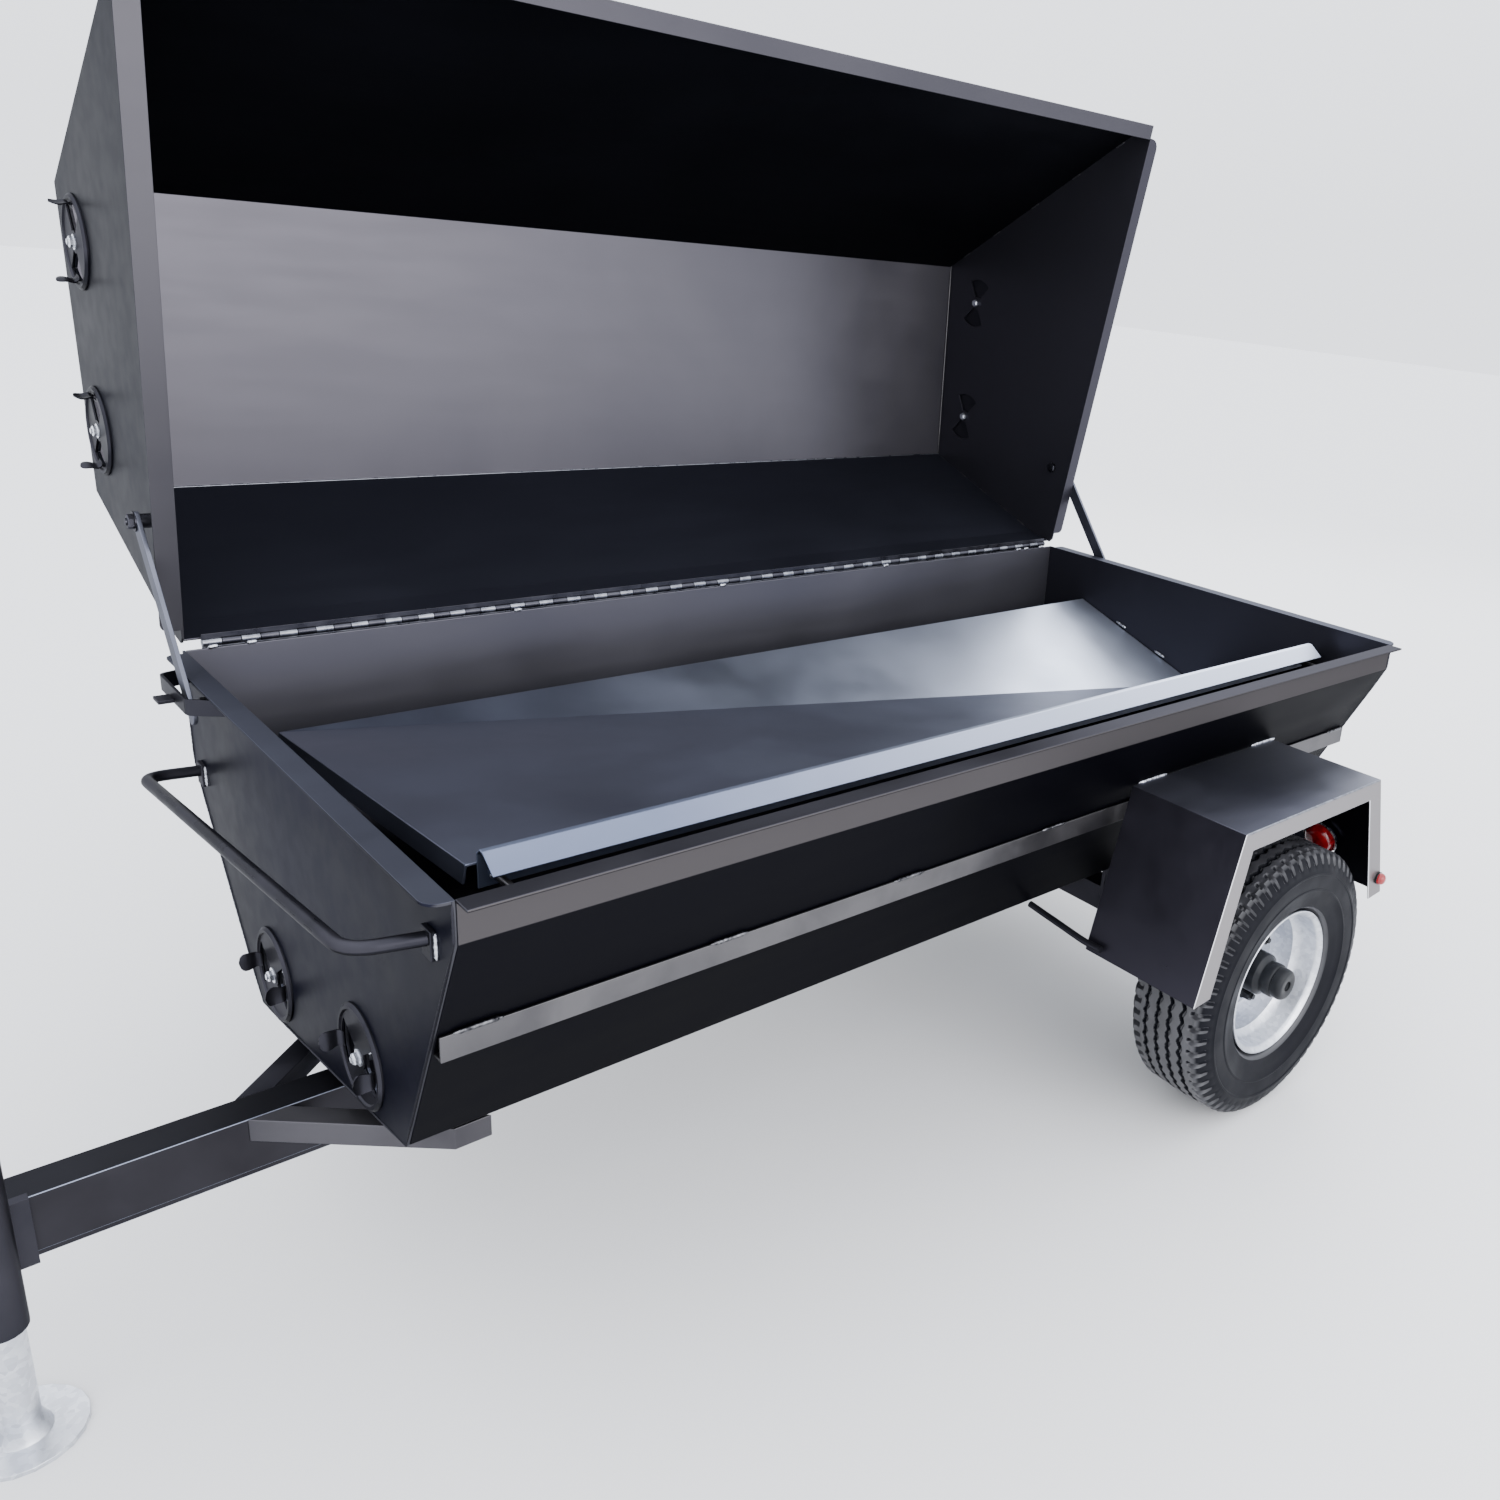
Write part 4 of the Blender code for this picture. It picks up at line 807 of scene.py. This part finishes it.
def make_straps():
    """Bent flat bars with a wedge plate inside, where the prop arms end."""
    top = -0.012
    bottom = top - 0.0225
    sheet = 0.004
    reach = 0.043 - sheet / 2
    bends = [(0.0015, 0.708), (reach, 0.735), (reach, 0.860), (0.0015, 0.872)]
    wedge = [(0.002, 0.716), (0.025, 0.736), (0.025, 0.741), (0.002, 0.741)]
    for end, x, side in ENDS:
        corners = [Vector((side * across, y, 0)) for across, y in bends]
        path = [(p.x + x + ORIGIN.x, p.y + ORIGIN.y) for p in fillet(corners, 0.007, 5)]
        bar = mesh_from(lambda shape: add_strip(shape, path, sheet, bottom + ORIGIN.z, top + ORIGIN.z))

        def build_wedge(shape):
            skin(shape, [
                [shape.verts.new(at(x + side * across, y, top - below)) for across, y in wedge]
                for below in (0.007, 0.002)
            ])
            bmesh.ops.recalc_face_normals(shape, faces=shape.faces)

        strap = piece(f"strap_{end}", bar, SATIN, "frame", f"strap_bracket_{end}", slot="black_steel")
        bevelled(strap, 0.0006)
        piece(f"strap_wedge_{end}", mesh_from(build_wedge), RAIL, "frame", slot="black_steel")
        edge = x + side * 0.002
        runs = [(at(edge, y, bottom + 0.002), at(edge, y, top - 0.002), 0.0026) for y in (0.704, 0.876)]
        weld_piece(f"strap_welds_{end}", "frame", runs, SCALED_WELD)


def make_prop_bolts():
    """The bolt, spacer and nut on which each prop arm turns."""
    for end, x, side in ENDS:
        pivot = JOINTS[f"prop_arm_pivot_{end}"]
        plate = at(x, 0, 0).x
        arm_half = 0.0032

        def on_axis(across):
            return (across, pivot.y, pivot.z)

        def build(shape):
            outer = pivot.x + side * arm_half
            add_bolt(shape, on_axis(outer), (side, 0, 0), 0.0105, 0.0075)
            add_rod(shape, on_axis(plate - side * 0.014), on_axis(outer), 0.006, 16)
            add_rod(shape, on_axis(plate + side * 0.001), on_axis(pivot.x - side * 0.0036), 0.010, 24)
            add_hex(shape, on_axis(plate - side * (SHEET + 0.001)), (-side, 0, 0), 0.0110, 0.008)

        piece(f"prop_bolt_set_{end}", mesh_from(build), DARK_STEEL, "hood", f"prop_bolt_{end}", slot="zinc")


def make_hood_handle():
    """The lifting bar on the hood's front slope."""
    half, low, high = 0.45, 0.0012, 0.060
    run, rise = 0.394, 0.475
    y0 = 0.06
    z0 = 0.053 + y0 * rise / run
    out = Vector((0, -rise, run)).normalized()

    def grip(along, reach):
        return hood_at(LENGTH / 2 + along, y0 + out.y * reach, z0 + out.z * reach)

    path = fillet([grip(-half, low), grip(-half, high), grip(half, high), grip(half, low)], 0.030, 9)

    bar = mesh_from(lambda shape: add_tube(shape, path, 0.0095, 18))
    piece("hood_lift_bar", bar, SATIN, "hood", "hood_handle", slot="mill_steel")


def make_standoffs():
    """Round bars from the pan's front lip to the tub's front wall, welded at both ends."""
    runs = []
    for end, _, _ in ENDS:
        low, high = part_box(f"pan_standoff_{end}")
        x, z, radius = (low.x + high.x) / 2, (low.z + high.z) / 2, (high.x - low.x) / 2
        rod = mesh_from(lambda shape: add_rod(shape, (x, low.y, z), (x, high.y, z), radius, 16))
        piece(f"pan_rod_{end}", rod, RAIL, "frame", f"pan_standoff_{end}", slot="mill_steel")
        for y in (low.y + 0.001, high.y - 0.002):
            runs.append(((x - 0.006, y, z - 0.002), (x + 0.006, y, z - 0.002), 0.0032))
    weld_piece("pan_rod_welds", "frame", runs)


def make_tub_welds():
    """Stitches along the rail, seams round the end plates, and tacks where the pan meets the right end."""
    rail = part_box("side_rail_front")[1]
    runs = []
    for x in (0.02, 0.335, 0.63, 0.93, 1.22, 1.50, 1.76):
        start = Vector((ORIGIN.x + x, rail.y - 0.019, rail.z + 0.0005))
        runs.append((start, start + Vector((0.055, 0, 0)), 0.0030))
    weld_piece("rail_welds", "frame", runs, SCALED_WELD)

    _, band, slope, low, wall, _ = TUB_OUTLINE
    front = [(0, -0.004), band, slope]
    back = [(WIDTH, -0.03), wall, low, slope]
    proud, radius = 0.0005, 0.0016
    runs = []
    for _, x, _ in ENDS:
        for (y0, z0), (y1, z1) in zip(front, front[1:]):
            runs.append((at(x, y0 + proud, z0), at(x, y1 + proud, z1), radius))
        for start, end in zip(back, back[1:]):
            runs.append((at(x, *start), at(x, *end), radius))
    weld_piece("corner_seams", "frame", runs, SATIN)

    x = LENGTH - 0.006
    tacks = ((0.68, -0.128), (0.56, -0.166), (0.30, -0.126))
    runs = [(at(x, y, z), at(x, y - 0.03, z - 0.008), 0.0028) for y, z in tacks]
    weld_piece("pan_welds", "frame", runs)


def make_fender_welds():
    """Two stitches along each fender's inner edge, and a bare-steel rod along its outer bend as a painted
    highlight.
    """
    for end, sign in SIDES:
        low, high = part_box(f"fender_{end}")
        inner, outer = (high.y, low.y) if sign < 0 else (low.y, high.y)
        runs = []
        for x in (low.x + 0.085, high.x - 0.155):
            start = Vector((x, inner - sign * 0.0005, high.z + 0.001))
            runs.append((start, start + Vector((0.075, 0, 0)), 0.0042))
        weld_piece(f"fender_welds_{end}", "frame", runs)

        y, z = outer - sign * 0.0012, high.z - 0.0012
        left, right = (low.x + 0.072, y, z), (high.x - 0.089, y, z)
        # A painted highlight: a bright bare-steel rod along the outer top edge.
        line = mesh_from(lambda shape: add_rod(shape, left, right, 0.0018, 12))
        piece(f"fender_bend_highlight_{end}", line, BARE, "frame", slot="mill_steel")


def make_hood_welds():
    """Seams in the hood's inner corners, and a bare-steel rod along the bend over its back panel as a painted
    highlight.

    The top panel's seam runs through. The other two panels have short tacks.
    """
    outline = [(0.004, 0.05), (0.391, 0.526), (0.845, 0.443), (0.910, 0.075)]
    runs = []
    for x in (SHEET + 0.002, LENGTH - SHEET - 0.002):
        corners = [hood_at(x, y, z) for y, z in outline]
        for panel, (start, end) in enumerate(zip(corners, corners[1:])):
            if panel == 1:
                runs.append((start, end, 0.0024))
                continue
            along = (end - start).normalized() * 0.012
            for share in (0.06, 0.28, 0.5, 0.72, 0.90):
                middle = start.lerp(end, share)
                runs.append((middle - along, middle + along, 0.0016))
    weld_piece("hood_seams", "hood", runs, RAIL)

    # A painted highlight: a bright bare-steel rod along the bend.
    start, end = hood_at(SHEET, *outline[2]), hood_at(LENGTH - SHEET, *outline[2])
    line = mesh_from(lambda shape: add_rod(shape, start, end, 0.0016, 12))
    piece("hood_bend_line", line, BARE, "hood", slot="mill_steel")


def ramp(value, start, width):
    """0 to 1 as value goes from start over a width."""
    return min(1.0, max(0.0, (value - start) / width))


def tread_radius(profile, across, turn, crown):
    """The tyre's radius at a distance across and a turn about the axle, with grooves and shoulder lugs.

    The lugs' notches run out down the shoulder, below the crown's radius.
    """
    pitch = (turn * LUGS / tau) % 1
    zigzag = 0.0026 * (2 * abs(2 * pitch - 1) - 1)
    groove = max(ramp(0.0034 - abs(across - middle - zigzag), 0, 0.0014) for middle in GROOVES)
    depth = GROOVE_DEPTH * groove
    edge = abs(across)
    if edge > LUG_START:
        notch = ramp(0.24 - abs(pitch - 0.5), 0, 0.12)
        runout = min(ramp(edge, LUG_START, 0.006), ramp(profile, crown - SHOULDER_DROP, 0.012))
        depth = max(depth, LUG_DEPTH * notch * runout)
    return profile - depth


def make_tyre(end, middle, radius):
    """A bias-ply trailer tyre: zigzag grooves, lugged shoulders and faint rings on its sidewalls."""
    half = TYRE_WIDTH / 2
    tread_half = half - 0.024
    tread_points = 34
    # The distance below the crown, or the radius, and the distance in from the widest place
    sidewall = [
        (0.0015, 0.019), (0.0040, 0.0145), (0.0085, 0.0105), (0.014, 0.0075), (0.021, 0.0045),
        (0.030, 0.0020), (0.036, 0.0008), (0.0375, -0.0002), (0.0405, -0.0002), (0.042, 0.0008),
        (0.055, 0.0006), (0.066, 0.0016), (0.0675, 0.0008), (0.070, 0.0010), (0.0715, 0.0022),
        (0.085, 0.0050), (0.094, 0.0080),
    ]
    bead = [(0.1440, 0.0105), (0.1412, 0.0140), (0.1385, 0.0215), (0.1278, 0.0240)]
    shoulder = [(radius - below, half - inset) for below, inset in sidewall]
    shoulder += [(bead_radius, half - inset) for bead_radius, inset in bead]
    across = [tread_half * (k / tread_points - 1) for k in range(2 * tread_points + 1)]
    crown = [(radius - CROWN_CURVE * a**2, a) for a in across]
    section = [(r, -a) for r, a in reversed(shoulder)] + crown + shoulder

    def build(shape):
        rings = []
        for r, a in section:
            ring = []
            for k in range(TYRE_STEPS):
                turn = tau * k / TYRE_STEPS
                size = tread_radius(r, a, turn, radius) if r > radius - SHOULDER_DROP else r
                ring.append(shape.verts.new((size * cos(turn), a, size * sin(turn))))
            rings.append(ring)
        for near, far in zip(rings, rings[1:] + rings[:1]):
            for k in range(TYRE_STEPS):
                n = (k + 1) % TYRE_STEPS
                shape.faces.new((near[k], near[n], far[n], far[k]))
        bmesh.ops.recalc_face_normals(shape, faces=shape.faces)
        bmesh.ops.translate(shape, verts=shape.verts, vec=middle)

    piece(f"tyre_tread_{end}", mesh_from(build), TYRE, f"wheel_{end}", f"tyre_{end}", slot="rubber", angle=28)


def rim_profile():
    """Radius and depth round the pressed rim: its outer flange, well, inner flange, disc and boss."""
    lip, back, disc, boss = RIM_LIP, RIM_WIDTH, DISC_INSET, BOSS_INSET
    return [
        (lip - 0.0025, -0.0004), (lip - 0.0005, 0.0006), (lip, 0.0028), (0.1275, 0.0065),
        (0.1265, 0.0105), (0.1258, 0.034), (0.1190, 0.044), (0.1150, 0.047),
        (0.1150, back - 0.026), (0.1190, back - 0.020), (0.1258, back - 0.014), (0.1266, back - 0.008),
        (lip, back - 0.0025), (lip - 0.001, back - 0.0002), (lip - 0.003, back - 0.0015),
        (0.1236, back - 0.007), (0.1230, back - 0.015), (0.1160, back - 0.0215),
        (0.1120, disc + 0.0045), (0.1000, disc + 0.0030), (0.0900, disc - 0.0020),
        (0.0790, boss + 0.0062), (0.0720, boss + 0.0030), (0.0400, boss + 0.0030),
        (0.0395, boss - 0.0010), (0.0415, boss - 0.0022), (0.0450, boss), (0.0710, boss),
        (0.0775, boss + 0.0025), (0.0880, disc - 0.0065), (0.0960, disc - 0.0018),
        (0.1060, disc - 0.0006), (0.1108, disc - 0.0035), (0.1120, disc - 0.010),
        (0.1120, 0.049), (0.1162, 0.0455), (0.1228, 0.0355), (0.1236, 0.0100),
        (0.1256, 0.0048), (0.1300, 0.0022),
    ]


def hub_profile():
    """Radius and depth along the hub, from the middle of its cap to behind the rim's disc."""
    nose = -0.016
    cap = [
        (0.0, 0.0045), (0.0085, 0.0045), (0.0092, 0.0038), (0.0092, 0.0010), (0.0105, 0.0005),
        (0.0165, 0.0005), (0.0205, 0.0), (0.0240, 0.0012), (0.0270, 0.0045), (0.0283, 0.009),
        (0.0283, 0.0185), (0.0270, 0.0192), (0.0270, 0.0210), (0.0292, 0.0218), (0.0305, 0.0235),
        (0.0305, 0.036), (0.0296, 0.0375), (0.0296, 0.042), (0.0330, 0.046), (0.0375, 0.049),
        (0.0382, 0.052),
    ]
    root = [(0.0382, DISC_INSET - 0.004), (0.0340, DISC_INSET + 0.040), (0.0, DISC_INSET + 0.040)]
    return [(radius, nose + depth) for radius, depth in cap] + root


def add_lug_nuts(shape, inboard, out):
    """Five cone-seated nuts on studs, standing on the rim's boss."""
    seat = 0.004
    for k in range(LUG_NUTS):
        turn = tau * (k + 0.15) / LUG_NUTS
        start = inboard @ Vector((LUG_CIRCLE * cos(turn), LUG_CIRCLE * sin(turn), BOSS_INSET))
        add_rod(shape, start, start + out * seat, 0.0120, 20, 0.0095)
        add_hex(shape, start + out * seat, out, 0.0108, 0.0135)
        add_rod(shape, start + out * seat, start + out * 0.0225, 0.0058, 14, 0.0050)


def make_wheels():
    """Tyres on pressed galvanised rims with lug nuts, and hubs with a capped nose."""
    for end, sign in SIDES:
        low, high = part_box(f"wheel_rim_{end}")
        tyre_low, tyre_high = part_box(f"tyre_{end}")
        axle = JOINTS[f"wheel_{end}_spin"]
        outer = low.y if sign < 0 else high.y
        face = Vector((axle.x, outer, axle.z))
        inboard = Matrix.Translation(face) @ Matrix.Rotation(sign * pi / 2, 4, "X")
        middle = Vector((axle.x, outer - sign * RIM_WIDTH / 2, axle.z))
        make_tyre(end, middle, (tyre_high.z - tyre_low.z) / 2)

        rim = mesh_from(lambda shape: add_lathe(shape, rim_profile(), inboard, 96))
        hub = mesh_from(lambda shape: add_lathe(shape, hub_profile(), inboard, 56, closed=False))
        nuts = mesh_from(lambda shape: add_lug_nuts(shape, inboard, Vector((0, sign, 0))))
        wheel = f"wheel_{end}"
        piece(f"wheel_rim_pressed_{end}", rim, ZINC, wheel, f"wheel_rim_{end}", slot="zinc", angle=50)
        piece(f"wheel_hub_capped_{end}", hub, IRON, wheel, f"wheel_hub_{end}", slot="black_steel", angle=40)
        piece(f"lug_nuts_{end}", nuts, IRON, wheel, slot="black_steel")


def make_stays():
    """Round bars from the frame to the fenders' lower corners."""
    radius = 0.006
    for end, sign in SIDES:
        low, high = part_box(f"fender_stay_{end}")
        inner, outer = (high.y, low.y) if sign < 0 else (low.y, high.y)
        path = [
            Vector((low.x + radius + 0.001, inner + sign * radius * 0.3, high.z - radius)),
            Vector((high.x - radius - 0.002, outer - sign * 0.036, low.z + radius)),
            Vector((high.x - radius - 0.0005, outer - sign * 0.001, low.z + radius)),
        ]
        rod = mesh_from(lambda shape: add_tube(shape, fillet(path, 0.012), radius - 0.0003, 14))
        piece(f"fender_rod_{end}", rod, SATIN, "frame", f"fender_stay_{end}", slot="black_steel")


def make_tail_lamp(end):
    """A lamp set square to a fender's back slope, with a chrome ring, and a cup and a bezel behind."""
    slope = Vector((0.087, 0, -0.244)).normalized()
    out = Vector((-slope.z, 0, slope.x))
    lens = [
        (0.0, 0.0185), (0.010, 0.0182), (0.020, 0.0168), (0.028, 0.0138), (0.0320, 0.0095),
        (0.0330, 0.0050), (0.0, 0.005),
    ]
    ring = [
        (0.0330, 0.0050), (0.0345, 0.0078), (0.0368, 0.0082), (0.0382, 0.0060), (0.0385, 0.0008),
        (0.0330, 0.0008),
    ]
    cup = [(0.030, 0.0), (0.030, 0.004), (0.026, 0.014), (0.020, 0.018), (0.0, 0.019)]
    bezel = [(0.031, 0.0), (0.0365, 0.0), (0.0365, 0.003), (0.034, 0.0048), (0.031, 0.003)]
    low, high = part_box(f"tail_lamp_{end}")
    base = (low + high) / 2 - out * 0.0095
    parts = (
        ("lens", lens, RED, "red_lens", standing(base, out), 48, False),
        ("ring", ring, CHROME, "zinc", standing(base, out), 48, True),
        ("cup", cup, RED, "red_lens", standing(base - out * 0.0065, -out), 40, False),
        ("bezel", bezel, CHROME, "zinc", standing(base - out * 0.0062, -out), 40, True),
    )
    for name, profile, material, slot, place, steps, closed in parts:
        mesh = mesh_from(lambda shape: add_lathe(shape, profile, place, steps, closed))
        replaced = [f"tail_lamp_{end}"] if name == "lens" else []
        piece(f"tail_{name}_{end}", mesh, material, "frame", *replaced, slot=slot)


def make_marker_lamp(end, sign):
    """A small domed lamp on a fender's outer face."""
    dome = [
        (0.0112, 0.0), (0.0112, 0.0045), (0.0104, 0.0085), (0.0080, 0.0118), (0.0045, 0.0135),
        (0.0, 0.0140), (0.0, 0.0),
    ]
    collar = [(0.0118, 0.0), (0.0120, 0.0022), (0.0113, 0.0030), (0.0113, 0.0)]
    low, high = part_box(f"marker_lamp_{end}")
    inner = high.y if sign < 0 else low.y
    centre = Vector(((low.x + high.x) / 2, inner, (low.z + high.z) / 2))
    place = Matrix.Translation(centre) @ Matrix.Rotation(-sign * pi / 2, 4, "X")
    lens = mesh_from(lambda shape: add_lathe(shape, dome, place, 36))
    base = mesh_from(lambda shape: add_lathe(shape, collar, place, 36))
    piece(f"marker_lens_{end}", lens, RED, "frame", f"marker_lamp_{end}", slot="red_lens")
    piece(f"marker_base_{end}", base, IRON, "frame", slot="black_steel")


def make_lamps():
    for end, sign in SIDES:
        make_tail_lamp(end)
        make_marker_lamp(end, sign)


# ---------------------------------------------------------------- stage


def make_floor():
    half_size = 30
    mesh = mesh_from(lambda shape: bmesh.ops.create_grid(shape, x_segments=1, y_segments=1, size=half_size))
    floor = bpy.data.objects.new("floor", mesh)
    mesh.materials.append(Shader("floor", (0.80, 0.80, 0.80), 0.9).material)
    link(floor)


def make_softbox(name, location, target, size, radiance, colour):
    """An area light of a given brightness as reflections see it, hidden from the camera."""
    data = bpy.data.lights.new(name, "AREA")
    data.shape = "RECTANGLE"
    data.size, data.size_y = size
    data.energy = radiance * size[0] * size[1] * pi
    data.color = colour
    light = bpy.data.objects.new(name, data)
    light.location = location
    light.rotation_euler = (Vector(target) - Vector(location)).to_track_quat("-Z", "Y").to_euler()
    light.visible_camera = False
    link(light)


def make_sky():
    """A soft overcast dome, brightest overhead."""
    world = bpy.data.worlds.new("studio")
    world.use_nodes = True
    tree = world.node_tree
    split = tree.nodes.new("ShaderNodeSeparateXYZ")
    tree.links.new(tree.nodes.new("ShaderNodeTexCoord").outputs["Generated"], split.inputs[0])
    strength = map_range(tree, split.outputs["Z"], 2.3, 3.6, 0.05, 0.85)
    background = tree.nodes["Background"]
    background.inputs["Color"].default_value = (0.90, 0.93, 1.0, 1)
    tree.links.new(strength, background.inputs["Strength"])
    bpy.context.scene.world = world


def make_lights():
    make_sky()
    make_softbox("front", (0.6, -4.6, 1.9), (0.2, 0.7, 1.2), (4.0, 2.8), 4.5, (1.0, 0.97, 0.97))
    make_softbox("right", (5.0, 1.6, 3.4), (0.8, 0.0, 0.6), (2.4, 2.4), 5.0, (0.92, 0.96, 1.0))


def make_camera():
    """The photograph's view: a wide lens at the front left corner, slightly rolled and shifted."""
    azimuth, pitch, roll = radians(-46.6), radians(18.7), radians(5.57)
    place = at(-0.441, -1.115, 0.626)
    back = Vector((sin(azimuth) * cos(pitch), -cos(azimuth) * cos(pitch), sin(pitch)))
    level = (-back).cross(Vector((0, 0, 1))).normalized()
    upright = level.cross(-back)
    right = level * cos(roll) + upright * sin(roll)
    up = upright * cos(roll) - level * sin(roll)
    data = bpy.data.cameras.new("camera")
    data.sensor_width = 36
    data.lens = 30.62
    data.shift_x, data.shift_y = -0.1667, -0.0333
    data.clip_start = 0.05
    camera = bpy.data.objects.new("camera", data)
    rows = [[right[i], up[i], back[i], place[i]] for i in range(3)]
    camera.matrix_world = Matrix(rows + [[0, 0, 0, 1]])
    link(camera)
    bpy.context.scene.camera = camera


make_camera()
keep_nodes()
make_hinge()
make_dials()
make_end_handles()
make_straps()
make_prop_bolts()
make_hood_handle()
make_standoffs()
make_tub_welds()
make_fender_welds()
make_hood_welds()
make_wheels()
make_stays()
make_lamps()
make_floor()
make_lights()
